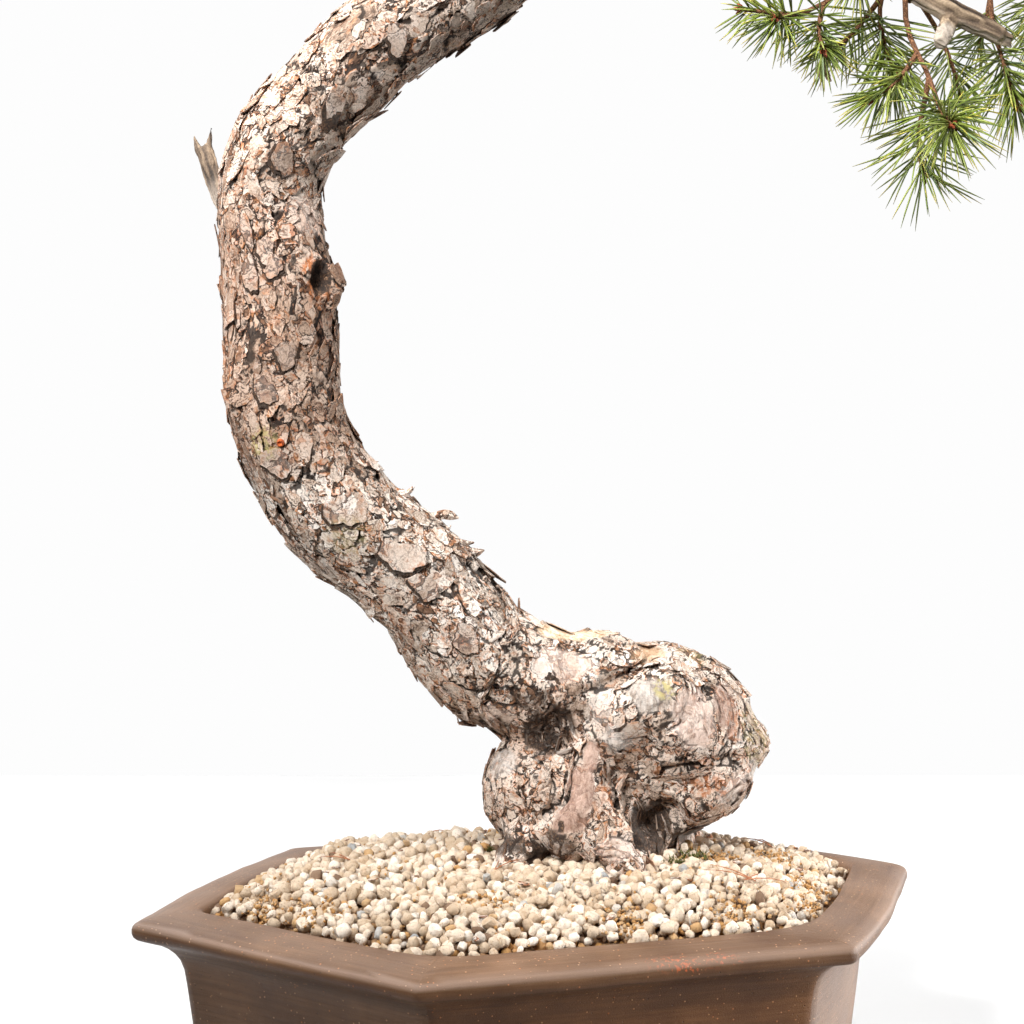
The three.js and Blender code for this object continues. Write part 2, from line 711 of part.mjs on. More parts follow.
const bonsai = new THREE.Group();
const pottedGroup = new THREE.Group();
pottedGroup.rotation.z = potTurn;
bonsai.add(pottedGroup);

function addNode(group, name, solid, material) {
  const mesh = new THREE.Mesh(geometryOf(solid), material);
  mesh.name = name;
  group.add(mesh);
}

const trunk = largest(makeTrunk());
const trunkSeat = makeTrunk(gap);
const turnedSeat = trunkSeat.rotate([0, 0, -THREE.MathUtils.radToDeg(potTurn)]);

addNode(pottedGroup, "pot", makePot(), finishes.clay);
let soil = potSpace(soilTop).subtract(turnedSeat);
[-drainOffset, drainOffset].forEach((x, i) => {
  addNode(pottedGroup, "drain_net_" + (i + 1), makeDrainNet(x), finishes.plastic);
  const bed = new THREE.BoxGeometry(netSize + 2 * gap, netSize + 2 * gap, 2 * (netThickness + 2 * gap));
  soil = soil.subtract(solidOf(bed.translate(x, 0, floorTop)));
});
addNode(pottedGroup, "soil", largest(soil), finishes.soil);
const topLayer = potSpace(potHeight + 30).intersect(pebbleField(soilTop + gap));
addNode(pottedGroup, "gravel", largest(topLayer.subtract(turnedSeat)), finishes.gravel);
addNode(bonsai, "trunk", trunk, finishes.bark);

const woodLines = [trunkLine, ...Object.values(branchLines)];
for (const line of woodLines) {
  claimWood("trunk", line, barkRelief);
}
for (const [name, shape] of Object.entries(deadWood)) {
  addNode(bonsai, name, largest(makeDeadWood(shape).subtract(trunkSeat)), finishes.deadwood);
  for (const line of [shape.core, ...shape.splinters]) claimWood(name, line, 0.5);
}

const leafy = sprays.map((spray) => {
  const lines = shootLines(spray);
  return lines.map((line, k) => ({ line, owner: spray.name + "." + k }));
});
leafy.flat().forEach(({ line, owner }) => claim(owner, line.getSpacedPoints(8), 1.3 * shootRadius));
leafy.forEach((shoots, n) => {
  const solids = shoots.map(({ line, owner }, k) => makeShoot(owner, line, shootRadius, n + 0.37 * k));
  addNode(bonsai, "spray_" + sprays[n].name, largest(joined(solids).subtract(trunkSeat)), finishes.needle);
});

export default bonsai;
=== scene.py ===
# A Scots pine bonsai in its hexagonal pot: bark, dead wood, needles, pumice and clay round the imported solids.
# Metres, +Z up. Lengths that repeat the solids' own points are written in millimetres and times MM.
import math

import bpy
import numpy as np
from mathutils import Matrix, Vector
from mathutils.bvhtree import BVHTree


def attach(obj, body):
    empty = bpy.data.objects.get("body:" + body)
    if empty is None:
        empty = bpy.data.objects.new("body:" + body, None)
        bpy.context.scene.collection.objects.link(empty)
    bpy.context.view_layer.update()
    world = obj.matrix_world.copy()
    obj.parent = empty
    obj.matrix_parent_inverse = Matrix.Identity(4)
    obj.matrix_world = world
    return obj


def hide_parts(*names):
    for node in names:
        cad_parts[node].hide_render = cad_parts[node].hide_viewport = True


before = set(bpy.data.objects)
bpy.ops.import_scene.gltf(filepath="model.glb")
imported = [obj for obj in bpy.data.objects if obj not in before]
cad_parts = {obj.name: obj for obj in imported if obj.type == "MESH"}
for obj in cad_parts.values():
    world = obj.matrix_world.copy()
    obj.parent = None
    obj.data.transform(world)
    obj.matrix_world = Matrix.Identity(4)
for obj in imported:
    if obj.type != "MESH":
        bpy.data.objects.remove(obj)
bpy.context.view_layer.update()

MM = 0.001
chance = np.random.default_rng(41)

# Camera, light and floor

camera = bpy.data.objects.new("camera", bpy.data.cameras.new("camera"))
bpy.context.scene.collection.objects.link(camera)
camera.location = (-0.0154, -0.9401, 0.3505)
camera.rotation_euler = (math.radians(90 - 2.26), 0, 0)
camera.data.lens = 66.1
camera.data.sensor_width = 36
camera.data.clip_start = 0.01
bpy.context.scene.camera = camera


def add_lamp(kind, name, place, target, power, **settings):
    """A lamp at a place, turned to a target."""
    lamp = bpy.data.objects.new(name, bpy.data.lights.new(name, kind))
    lamp.data.energy = power
    for key, value in settings.items():
        setattr(lamp.data, key, value)
    lamp.location = place
    lamp.rotation_euler = (Vector(target) - Vector(place)).to_track_quat("-Z", "Y").to_euler()
    bpy.context.scene.collection.objects.link(lamp)


for name, place, target, size, power in (
    ("key_light", (-0.4, -0.45, 2.0), (0, 0, 0.2), 1.1, 46),
    ("right_light", (1.6, 0.75, 0.5), (0, 0, 0.2), 0.9, 18),
    ("back_light", (-1.2, 1.2, 1.2), (0, 0, 0.3), 1.1, 12),
):
    add_lamp("AREA", name, place, target, power, shape="SQUARE", size=size)
# Each of these lights one part alone
for name, place, target, spread, power in (
    ("tree_light", (-0.8, -1.5, 1.3), (0.02, 0, 0.455), 22, 226),
    ("pot_light", (1.5, 0.0, 0.14), (0.18, -0.03, 0.055), 15, 150),
):
    cone = math.radians(spread)
    add_lamp("SPOT", name, place, target, power, spot_size=cone, spot_blend=0.5, shadow_soft_size=0.16)


BACKDROP = (0.983, 0.983, 0.983, 1)


def make_world():
    """A white backdrop to look at. Its light on the tree is weaker and differs with where it comes from."""
    world = bpy.data.worlds.new("studio")
    world.use_nodes = True
    tree = world.node_tree
    backdrop = tree.nodes["Background"]
    backdrop.inputs["Color"].default_value = BACKDROP
    ray = tree.nodes.new("ShaderNodeLightPath")
    way = tree.nodes.new("ShaderNodeSeparateXYZ")
    tree.links.new(tree.nodes.new("ShaderNodeTexCoord").outputs["Generated"], way.inputs[0])
    lit = tree.nodes.new("ShaderNodeMix")
    # Reflections fade from the back to the front, and plain light fades from above to below
    for socket, axis, limits in (("B", "Y", (-0.1, 0.5, 0.1, 1.0)), ("A", "Z", (-0.5, 0.3, 0.1, 0.235))):
        fade = tree.nodes.new("ShaderNodeMapRange")
        for key, value in zip(("From Min", "From Max", "To Min", "To Max"), limits):
            fade.inputs[key].default_value = value
        tree.links.new(way.outputs[axis], fade.inputs["Value"])
        tree.links.new(fade.outputs[0], lit.inputs[socket])
    tree.links.new(ray.outputs["Is Glossy Ray"], lit.inputs["Factor"])
    strength = tree.nodes.new("ShaderNodeMath")
    strength.operation = "MAXIMUM"
    tree.links.new(ray.outputs["Is Camera Ray"], strength.inputs[0])
    tree.links.new(lit.outputs[0], strength.inputs[1])
    tree.links.new(strength.outputs[0], backdrop.inputs["Strength"])
    bpy.context.scene.world = world


make_world()
bpy.context.scene.view_settings.view_transform = "Standard"

# Chance and roughness, worked out for whole arrays of points

CORNERS = np.array([[i, j, k] for i in (0, 1) for j in (0, 1) for k in (0, 1)])
AROUND = np.array([[i, j, k] for i in (-1, 0, 1) for j in (-1, 0, 1) for k in (-1, 0, 1)])


def cell_chance(cells, seed):
    """A steady share of 0 to 1 for each whole-numbered cell."""
    c = cells.astype(np.int64)
    h = (c[..., 0] * 73856093) ^ (c[..., 1] * 19349663) ^ (c[..., 2] * 83492791) ^ (seed * 374761393)
    h = h & 0xFFFFFFFF
    h = ((h ^ (h >> 15)) * 2246822519) & 0xFFFFFFFF
    h = ((h ^ (h >> 13)) * 3266489917) & 0xFFFFFFFF
    return (h ^ (h >> 16)) / 4294967295.0


def lumps(p, seed):
    """Smooth roughness from -1 to 1, with one lump to each unit of length."""
    base = np.floor(p)
    part = p - base
    part = part * part * (3 - 2 * part)
    total = np.zeros(len(p))
    for step in CORNERS:
        weight = np.prod(np.where(step, part, 1 - part), axis=1)
        total += weight * cell_chance(base + step, seed)
    return 2 * total - 1


def rough(p, seed, layers=3):
    """Lumps with finer lumps on them, from about -1 to 1."""
    return sum(lumps(p * 2**n, seed + n) / 2**n for n in range(layers)) / 1.5


def eased(low, high, value):
    """0 below low, 1 above high, and a smooth rise between."""
    t = np.clip((value - low) / (high - low), 0, 1)
    return t * t * (3 - 2 * t)


def plated(p, seed):
    """Overlapping plates: how high the topmost one stands, how near its edge is, and how near it lies to a
    higher plate's edge, for the painted shadow there.
    """
    base = np.floor(p)
    levels, fars = [], []
    for step in AROUND:
        cell = base + step
        off = p - cell - np.stack([cell_chance(cell, seed + k) for k in range(3)], 1)
        lean = np.stack([cell_chance(cell, seed + 10 + k) for k in range(3)], 1) - 0.5
        far = np.linalg.norm(off, axis=1) / (0.62 + 0.38 * cell_chance(cell, seed + 4))
        levels.append(cell_chance(cell, seed + 7) + 0.9 * (off * lean).sum(1) + 0.2 * far**4)
        fars.append(far)
    levels, fars = np.array(levels), np.array(fars)
    shown = np.where(fars < 1, levels, -0.35)
    top = shown.argmax(0)[None]
    level = np.take_along_axis(shown, top, 0)[0]
    rim = eased(0.74, 1.0, np.take_along_axis(fars, top, 0)[0]) * (level > -0.3)
    # A painted shadow falls just outside a higher plate's edge
    beside = (1 - eased(1.0, 1.2, fars)) * (fars >= 1) * eased(0.02, 0.3, levels - level)
    return level, rim, beside.max(0)


def unit(v):
    return v / np.maximum(np.linalg.norm(v, axis=-1, keepdims=True), 1e-12)


class Line:
    """A smooth line through points, walked by its share of the length."""

    def __init__(self, points):
        p = np.array(points, float)[:, :3]
        p = np.vstack([2 * p[0] - p[1], p, 2 * p[-1] - p[-2]])
        walked = []
        for a, b, c, d in zip(p, p[1:], p[2:], p[3:]):
            d0, d1, d2 = (max(np.linalg.norm(e), 1e-9) ** 0.5 for e in (b - a, c - b, d - c))
            t1 = ((b - a) / d0 - (c - a) / (d0 + d1) + (c - b) / d1) * d1
            t2 = ((c - b) / d1 - (d - b) / (d1 + d2) + (d - c) / d2) * d1
            t = np.linspace(0, 1, 40, endpoint=False)[:, None]
            walked.append(b + t1 * t + (3 * (c - b) - 2 * t1 - t2) * t**2 + (2 * (b - c) + t1 + t2) * t**3)
        walked.append(p[-2:-1])
        self.p = np.vstack(walked)
        steps = np.linalg.norm(np.diff(self.p, axis=0), axis=1)
        self.length = steps.sum()
        self.share = np.concatenate([[0], np.cumsum(steps)]) / self.length

    def at(self, share):
        return np.stack([np.interp(share, self.share, self.p[:, k]) for k in range(3)], -1)

    def ahead(self, share):
        share = np.asarray(share, float)
        return unit(self.at(np.minimum(share + 0.004, 1)) - self.at(np.maximum(share - 0.004, 0)))


# Making meshes

def drop_selection():
    if bpy.context.object and bpy.context.object.mode != "OBJECT":
        bpy.ops.object.mode_set(mode="OBJECT")
    bpy.ops.object.select_all(action="DESELECT")


def take(piece):
    """Leaves one piece selected and active, in object mode."""
    drop_selection()
    piece.select_set(True)
    bpy.context.view_layer.objects.active = piece


def edit_all(piece):
    """Opens a piece for editing, with all of it selected."""
    take(piece)
    bpy.ops.object.mode_set(mode="EDIT")
    bpy.ops.mesh.select_all(action="SELECT")


def close_up():
    """Turns all faces outwards and leaves edit mode."""
    bpy.ops.mesh.select_all(action="SELECT")
    bpy.ops.mesh.normals_make_consistent(inside=False)
    bpy.ops.object.mode_set(mode="OBJECT")


def places(mesh):
    p = np.empty(len(mesh.vertices) * 3)
    mesh.vertices.foreach_get("co", p)
    return p.reshape(-1, 3)


def normals(mesh):
    n = np.empty(len(mesh.vertices) * 3)
    mesh.vertices.foreach_get("normal", n)
    return n.reshape(-1, 3)


def move_to(mesh, points):
    mesh.vertices.foreach_set("co", points.ravel())
    mesh.update()


def triangles(mesh):
    mesh.calc_loop_triangles()
    corners = np.empty(len(mesh.loop_triangles) * 3, np.int32)
    mesh.loop_triangles.foreach_get("vertices", corners)
    return corners.reshape(-1, 3)


def surface_of(piece):
    """A piece's surface as it is now, to find the nearest point on it."""
    points = [v.co.copy() for v in piece.data.vertices]
    return BVHTree.FromPolygons(points, [tuple(f) for f in triangles(piece.data)])


def blank_of(piece):
    """The points and triangles of a piece that is modelled once, which then goes."""
    arrays = places(piece.data), triangles(piece.data)
    bpy.data.objects.remove(piece)
    return arrays


def mark(mesh, name, values):
    """Keeps a number or a vector with each point of a mesh, for the finishes to read."""
    values = np.asarray(values, np.float32)
    kind, field = ("FLOAT", "value") if values.ndim == 1 else ("FLOAT_VECTOR", "vector")
    attribute = mesh.attributes.get(name) or mesh.attributes.new(name, kind, "POINT")
    attribute.data.foreach_set(field, values.ravel())


def seat(piece, slot, *nodes):
    """Makes a piece ride on the tree and stand for its nodes; the slot is not used."""
    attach(piece, "root")
    if nodes:
        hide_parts(*nodes)


def gathered(name, parts, crease=180):
    """One piece from parts of (points, triangles, finish, marks)."""
    start = np.cumsum([0] + [len(p) for p, _, _, _ in parts])
    mesh = bpy.data.meshes.new(name)
    faces = np.concatenate([f + s for (_, f, _, _), s in zip(parts, start)])
    mesh.from_pydata(np.concatenate([p for p, _, _, _ in parts]).tolist(), [], faces.tolist())
    finishes = []
    for _, _, finish, _ in parts:
        if finish not in finishes:
            finishes.append(finish)
            mesh.materials.append(finish)
    used = np.concatenate([np.full(len(f), finishes.index(finish)) for _, f, finish, _ in parts])
    mesh.polygons.foreach_set("material_index", used.astype(np.int32))
    for key in sorted({k for _, _, _, marks in parts for k in marks}):
        shape = parts[0][3][key].shape[1:] if key in parts[0][3] else ()
        values = [marks.get(key, np.zeros((len(p), *shape))) for p, _, _, marks in parts]
        mark(mesh, key, np.concatenate(values))
    mesh.update()
    piece = bpy.data.objects.new(name, mesh)
    bpy.context.scene.collection.objects.link(piece)
    take(piece)
    bpy.ops.object.shade_smooth_by_angle(angle=math.radians(crease))
    return piece


def copied(points, faces):
    """Stacked copies of one blank as one set of points and triangles. Points are (copies, corners, 3)."""
    copies, corners = points.shape[:2]
    offsets = (np.arange(copies) * corners)[:, None, None]
    return points.reshape(-1, 3), (faces[None] + offsets).reshape(-1, 3)


# Materials

def paint(red, green, blue):
    """A colour as the eye reads it, 0 to 255, in the units of light."""
    def light(v):
        v = v / 255
        return v / 12.92 if v <= 0.04045 else ((v + 0.055) / 1.055) ** 2.4
    return (light(red), light(green), light(blue), 1)


class Wire:
    """A socket in a finish. Arithmetic on it adds Math nodes."""

    def __init__(self, finish, socket):
        self.finish = finish
        self.socket = socket

    def math(self, operation, first, second):
        return self.finish.node("Math", {"operation": operation}, {0: first, 1: second})

    def __add__(self, other):
        return self.math("ADD", self, other)

    def __radd__(self, other):
        return self.math("ADD", other, self)

    def __sub__(self, other):
        return self.math("SUBTRACT", self, other)

    def __rsub__(self, other):
        return self.math("SUBTRACT", other, self)

    def __mul__(self, other):
        return self.math("MULTIPLY", self, other)

    def __rmul__(self, other):
        return self.math("MULTIPLY", other, self)


class Finish:
    """A material in the making: node() adds any node, and the others are short ways to the usual ones."""

    def __init__(self, name, **constants):
        self.material = bpy.data.materials.new(name)
        self.material.use_nodes = True
        self.tree = self.material.node_tree
        self.shader = self.tree.nodes["Principled BSDF"]
        for key, value in constants.items():
            self.shader.inputs[key.replace("_", " ")].default_value = value
        self.place = self.node("TexCoord", {}, {}, "Object")
        self.mm = self.node("VectorMath", {"operation": "SCALE"}, {0: self.place, "Scale": 1000.0})

    def node(self, kind, settings, inputs, output=0):
        made = self.tree.nodes.new("ShaderNode" + kind)
        for key, value in settings.items():
            if key == "stops":
                self.set_stops(made.color_ramp, value)
            else:
                setattr(made, key, value)
        for key, value in inputs.items():
            self.feed(made.inputs[key], value)
        if isinstance(output, tuple):
            return [Wire(self, made.outputs[name]) for name in output]
        return Wire(self, made.outputs[output])

    def feed(self, socket, value):
        if isinstance(value, Wire):
            self.tree.links.new(value.socket, socket)
        else:
            socket.default_value = value

    def set_stops(self, ramp, stops):
        while len(ramp.elements) < len(stops):
            ramp.elements.new(1)
        for element, (position, colour) in zip(ramp.elements, stops):
            element.position = position
            element.color = colour

    def attribute(self, name, output="Fac"):
        return self.node("Attribute", {"attribute_name": name}, {}, output)

    def noise(self, size, detail=3, place=None, output="Fac", roughness=0.55):
        """Cloudy noise whose lumps are about size millimetres."""
        inputs = {"Vector": place or self.mm, "Scale": 1 / size, "Detail": detail, "Roughness": roughness}
        return self.node("TexNoise", {}, inputs, output)

    def cells(self, size, feature="F1", place=None, output="Distance"):
        inputs = {"Vector": place or self.mm, "Scale": 1 / size}
        return self.node("TexVoronoi", {"feature": feature}, inputs, output)

    def shifted(self, place, x, y=0.0, z=0.0):
        return self.node("VectorMath", {"operation": "ADD"}, {0: place, 1: (x, y, z)})

    def stretched(self, scale, place=None):
        return self.node("VectorMath", {"operation": "MULTIPLY"}, {0: place or self.mm, 1: scale})

    def parts(self, colour):
        return self.node("SeparateColor", {}, {0: colour}, ("Red", "Green", "Blue"))

    def strays(self, reach, size, place=None):
        """The place in millimetres, pushed about by noise."""
        push = self.noise(size, 2, place, "Color")
        centred = self.node("VectorMath", {"operation": "SUBTRACT"}, {0: push, 1: (0.5, 0.5, 0.5)})
        moved = self.node("VectorMath", {"operation": "SCALE"}, {0: centred, "Scale": 2.0 * reach})
        return self.node("VectorMath", {"operation": "ADD"}, {0: place or self.mm, 1: moved})

    def ease(self, low, high, value):
        inputs = {"Value": value, "From Min": low, "From Max": high}
        return self.node("MapRange", {"interpolation_type": "SMOOTHSTEP"}, inputs)

    def mix(self, share, first, second, blend="MIX"):
        settings = {"data_type": "RGBA", "blend_type": blend}
        return self.node("Mix", settings, {0: share, 6: first, 7: second}, 2)

    def ramp(self, value, *stops):
        return self.node("ValToRGB", {"stops": stops}, {0: value}, "Color")

    def finish(self, colour, roughness=None, height=None):
        """Feeds the shader. Height is in millimetres."""
        self.feed(self.shader.inputs["Base Color"], colour)
        if roughness is not None:
            self.feed(self.shader.inputs["Roughness"], roughness)
        if height is not None:
            inputs = {"Height": height, "Strength": 1.0, "Distance": MM}
            self.feed(self.shader.inputs["Normal"], self.node("Bump", {}, inputs, "Normal"))
        return self.material


def bark_finish():
    """Papery plates that lie over each other: mottled pale faces, torn rims, some pale as a painted highlight,
    and dark gaps beside them that are painted shadow; the dark mark adds painted shade.
    """
    f = Finish("pine_bark", Roughness=0.9)
    run = f.attribute("run", "Vector")
    fine = f.noise(0.8, 4, run, roughness=0.72)
    ragged = f.noise(3.0, 4, run, roughness=0.6)
    patch = f.noise(19, 2, run)
    hue = f.noise(34, 2, f.shifted(run, 60))
    wander = f.strays(1.5, 3.2, f.strays(4.0, 11, run))
    smooth = f.attribute("smooth")
    colour = f.ramp(
        fine * 0.6 + ragged * 0.4,
        (0.3, paint(70, 50, 36)),
        (0.5, paint(124, 96, 76)),
        (0.7, paint(176, 148, 126)),
    )
    height = ragged * 0.6
    for size, cover, shift, thick, metric in (
        (4.4, 0.78, 0, 0.35, "MANHATTAN"),
        (8.0, 0.56, 40, 0.5, "EUCLIDEAN"),
        (14.0, 0.55, 90, 0.7, "EUCLIDEAN"),
    ):
        inputs = {"Vector": f.shifted(wander, shift), "Scale": 1 / size}
        far, dice = f.node("TexVoronoi", {"distance": metric}, inputs, ("Distance", "Color"))
        first, second, third = f.parts(dice)
        edge = far + ragged * 0.6 + fine * 0.14 - (cover + 0.27 + first * 0.2)
        plate = 1 - f.ease(-0.02, 0.0, edge)
        # Painted shadow: a dark ring just outside each plate
        gap = 1 - f.ease(0.3 / size, 1.1 / size, edge)
        rim = f.ease(-0.9 / size, -0.15 / size, edge) * plate
        layer = f.node("Math", {"operation": "FRACT"}, {0: edge * (0.45 * size)})
        line = (1 - f.ease(0.1, 0.34, layer)) * f.ease(-0.5, -0.12, edge) * plate
        face = f.ramp(
            fine * 0.72 + second * 0.26 + patch * 0.5 - 0.23,
            (0.2, paint(116, 94, 78)),
            (0.34, paint(172, 150, 131)),
            (0.46, paint(214, 197, 181)),
            (0.6, paint(236, 224, 212)),
            (0.78, paint(252, 247, 241)),
        )
        colour = f.mix(gap * 0.92, colour, paint(40, 27, 18))
        colour = f.mix(plate, colour, face)
        colour = f.mix(line * 0.8, colour, paint(72, 48, 34))
        colour = f.mix(rim * f.ease(0.5, 0.62, third) * 0.75, colour, paint(206, 126, 66))
        # The pale rims on the other plates are a painted highlight
        colour = f.mix(rim * (1 - f.ease(0.4, 0.5, third)) * 0.4, colour, paint(246, 238, 228))
        height = height * (1 - plate * 0.4) + plate * thick - line * 0.2
    ochre = f.ease(0.56, 0.68, f.noise(5, 3, f.shifted(wander, 300)))
    colour = f.mix(ochre * 0.6, colour, paint(206, 152, 108), "MULTIPLY")
    colour = f.mix(f.ease(0.5, 0.66, hue) * 0.3, colour, paint(232, 200, 178), "MULTIPLY")
    colour = f.mix(f.attribute("tawny"), colour, paint(228, 212, 202), "MULTIPLY")
    grit = f.ease(0.58, 0.7, f.noise(1.3, 3, f.shifted(run, 20), roughness=0.7))
    colour = f.mix(grit * 0.4, colour, paint(112, 88, 72))
    rim, gap = f.attribute("rim"), f.attribute("gap")
    torn = f.ease(0.5, 0.62, ragged)
    colour = f.mix(f.ease(0.45, 0.95, rim) * torn * 0.55, colour, paint(196, 130, 80))
    # Painted shadow beside higher plates and painted shade in the burl's furrows and ring steps, from the mesh
    # marks
    colour = f.mix(f.ease(0.35, 0.7, gap + (ragged + fine) * 0.8 - 0.8) * 0.92, colour, paint(36, 25, 18))
    grain = f.noise(1.6, 4, f.stretched((1.0, 1.0, 0.22), run), roughness=0.65)
    clouds = f.noise(7, 3, run)
    tints = (
        ("skin", paint(136, 102, 86), paint(190, 158, 142)),
        ("tan", paint(176, 134, 96), paint(214, 182, 146)),
        ("wood", paint(204, 158, 110), paint(252, 234, 206)),
        ("ash", paint(138, 126, 116), paint(210, 202, 194)),
        ("pink", paint(196, 166, 150), paint(238, 220, 208)),
    )
    for name, dull, fair in tints:
        tint = f.mix(f.ease(0.38, 0.64, grain * 0.6 + clouds * 0.4), dull, fair)
        colour = f.mix(f.attribute(name) * (0.5 + 0.4 * clouds), colour, tint)
    lichen = f.attribute("lichen") * f.ease(0.42, 0.6, f.noise(2.6, 4, run))
    colour = f.mix(lichen * 0.8, colour, paint(186, 172, 112))
    rust = f.attribute("rust") * f.ease(0.42, 0.62, ragged)
    colour = f.mix(rust * 0.7, colour, paint(190, 112, 58))
    shade = f.ramp(
        ragged * 0.4 + fine * 0.6,
        (0.4, paint(18, 13, 9)),
        (0.53, paint(54, 38, 27)),
        (0.62, paint(116, 86, 62)),
        (0.72, paint(180, 150, 124)),
    )
    # The dark mark: painted shade in hollows, cracks, the knot hole and under the wood, painted shadow under
    # the big plates, and dark bark on some strips and horns
    dark_bark_and_shade = f.ease(0.2, 0.8, f.attribute("dark") + (ragged + fine) * 0.8 - 0.8)
    colour = f.mix(dark_bark_and_shade * 0.95, colour, shade)
    colour = f.mix(f.attribute("under") * 0.7, colour, paint(120, 84, 62))
    relief = height * (1 - smooth * 0.8) + fine * 0.3 + grain * smooth * 0.25
    return f.finish(colour, 0.84 + fine * 0.12, relief)


bark = bark_finish()


def deadwood_finish():
    f = Finish("bleached_wood", Roughness=0.8)
    fibre = f.attribute("fibre")
    fine = f.noise(0.9, 4)
    wide = f.noise(11, 3)
    colour = f.ramp(
        fibre * 0.62 + fine * 0.3 + wide * 0.3 - 0.12,
        (0.12, paint(44, 34, 27)),
        (0.34, paint(98, 80, 64)),
        (0.58, paint(150, 128, 104)),
        (0.8, paint(196, 172, 144)),
        (0.95, paint(222, 206, 184)),
    )
    colour = f.mix(f.attribute("pale") * 0.8, colour, f.mix(fine, paint(170, 152, 134), paint(220, 208, 196)))
    return f.finish(colour, 0.72 + fine * 0.2, fibre * 0.4 + fine * 0.3)


def clay_finish():
    """Unglazed stoneware, drawn with a wet tool: faint streaks, grains that burn out orange, a few scuffs; with
    painted shade under the lip and on its front band, a painted highlight on its outer edge, and dust with a
    painted sheen on the right face.
    """
    f = Finish("brown_stoneware", Roughness=0.6, Specular_IOR_Level=0.3)
    streak = f.noise(2.2, 4, f.attribute("draw", "Vector"))
    cloud = f.noise(34, 4)
    fine = f.noise(0.7, 4, roughness=0.7)
    colour = f.ramp(
        cloud * 0.5 + streak * 0.34 + fine * 0.16,
        (0.34, paint(86, 57, 37)),
        (0.5, paint(107, 77, 53)),
        (0.66, paint(134, 100, 73)),
    )
    seeds, dice = f.node("TexVoronoi", {}, {"Vector": f.mm, "Scale": 1 / 2.3}, ("Distance", "Color"))
    first, second, _ = f.parts(dice)
    crowd = f.ease(0.42, 0.68, f.noise(16, 3))
    grit = (1 - f.ease(0.12, 0.22, seeds)) * f.ease(0.5, 0.54, first * 0.6 + crowd * 0.4)
    colour = f.mix(grit * 0.85, colour, f.mix(second, paint(204, 126, 70), paint(214, 180, 146)))
    pits = (1 - f.ease(0.06, 0.14, f.cells(3.3))) * f.ease(0.5, 0.6, f.noise(9, 2))
    colour = f.mix(pits * 0.7, colour, paint(52, 38, 30))
    scuffed = f.attribute("scuff") * f.ease(0.55, 0.59, f.noise(1.7, 3))
    colour = f.mix(scuffed * 0.9, colour, paint(216, 106, 58))
    # Wear on the lip's top, and a painted highlight along its outer edge
    colour = f.mix(f.attribute("worn") * 0.3, colour, paint(160, 136, 120))
    # Painted shade under the lip and on the lip's front band
    colour = f.mix(f.attribute("shaded"), colour, paint(237, 215, 184), "MULTIPLY")
    # Dust on the right face, with a painted sheen that lightens and greys it
    colour = f.mix(f.attribute("dusty") * 0.2, colour, paint(150, 142, 138))
    height = streak * 0.3 + cloud * 0.7 + fine * 0.2 - pits * 0.3 + grit * 0.1
    return f.finish(colour, 0.34 + fine * 0.16 + cloud * 0.1, height)


def pumice_finish():
    """Cream pumice, with some stones white, ochre, blue-grey or brown, by the mark on each stone."""
    f = Finish("pumice", Roughness=0.95)
    tone = f.attribute("tone")
    fine = f.noise(0.7, 4)
    patch = f.noise(2.6, 3)
    colour = f.ramp(
        tone,
        (0.0, paint(96, 72, 54)),
        (0.03, paint(140, 114, 92)),
        (0.06, paint(188, 140, 82)),
        (0.1, paint(194, 160, 118)),
        (0.16, paint(182, 156, 126)),
        (0.5, paint(207, 187, 163)),
        (0.8, paint(230, 215, 197)),
        (0.88, paint(242, 233, 220)),
        (0.93, paint(190, 180, 168)),
        (0.97, paint(180, 178, 174)),
        (1.0, paint(160, 162, 162)),
    )
    colour = f.mix(f.ease(0.46, 0.7, patch) * 0.35, colour, paint(206, 176, 138), "MULTIPLY")
    pores = 1 - f.ease(0.1, 0.34, f.cells(0.95, "F1", f.strays(0.5, 1)))
    colour = f.mix(pores * 0.4, colour, paint(138, 104, 76))
    return f.finish(colour, 0.95, fine * 0.3 - pores * 0.25 + patch * 0.35)


def needle_finish():
    f = Finish("pine_needle", Roughness=0.4)
    along, tone = f.attribute("along"), f.attribute("tone")
    colour = f.ramp(
        tone,
        (0.0, paint(78, 94, 38)),
        (0.3, paint(112, 129, 50)),
        (0.6, paint(144, 158, 68)),
        (0.82, paint(176, 182, 100)),
        (0.9, paint(126, 152, 108)),
        (1.0, paint(166, 186, 142)),
    )
    colour = f.mix((1 - f.ease(0.0, 0.2, along)) * 0.5, colour, paint(172, 170, 104))
    yellow = f.ease(0.66, 0.96, along) * f.ease(0.4, 0.7, f.attribute("dry"))
    colour = f.mix(yellow * 0.85, colour, paint(214, 190, 70))
    stripe = f.noise(0.4, 2)
    return f.finish(colour, 0.34 + stripe * 0.16)


def twig_finish():
    f = Finish("young_twig", Roughness=0.8)
    fine = f.noise(0.9, 4)
    ringed = f.cells(1.6, "DISTANCE_TO_EDGE", f.strays(0.4, 1.2))
    colour = f.ramp(fine, (0.3, paint(98, 62, 42)), (0.5, paint(146, 98, 66)), (0.7, paint(184, 134, 92)))
    colour = f.mix((1 - f.ease(0.02, 0.12, ringed)) * 0.6, colour, paint(70, 44, 32))
    return f.finish(colour, 0.8, f.ease(0.0, 0.2, ringed) * 0.3 + fine * 0.2)


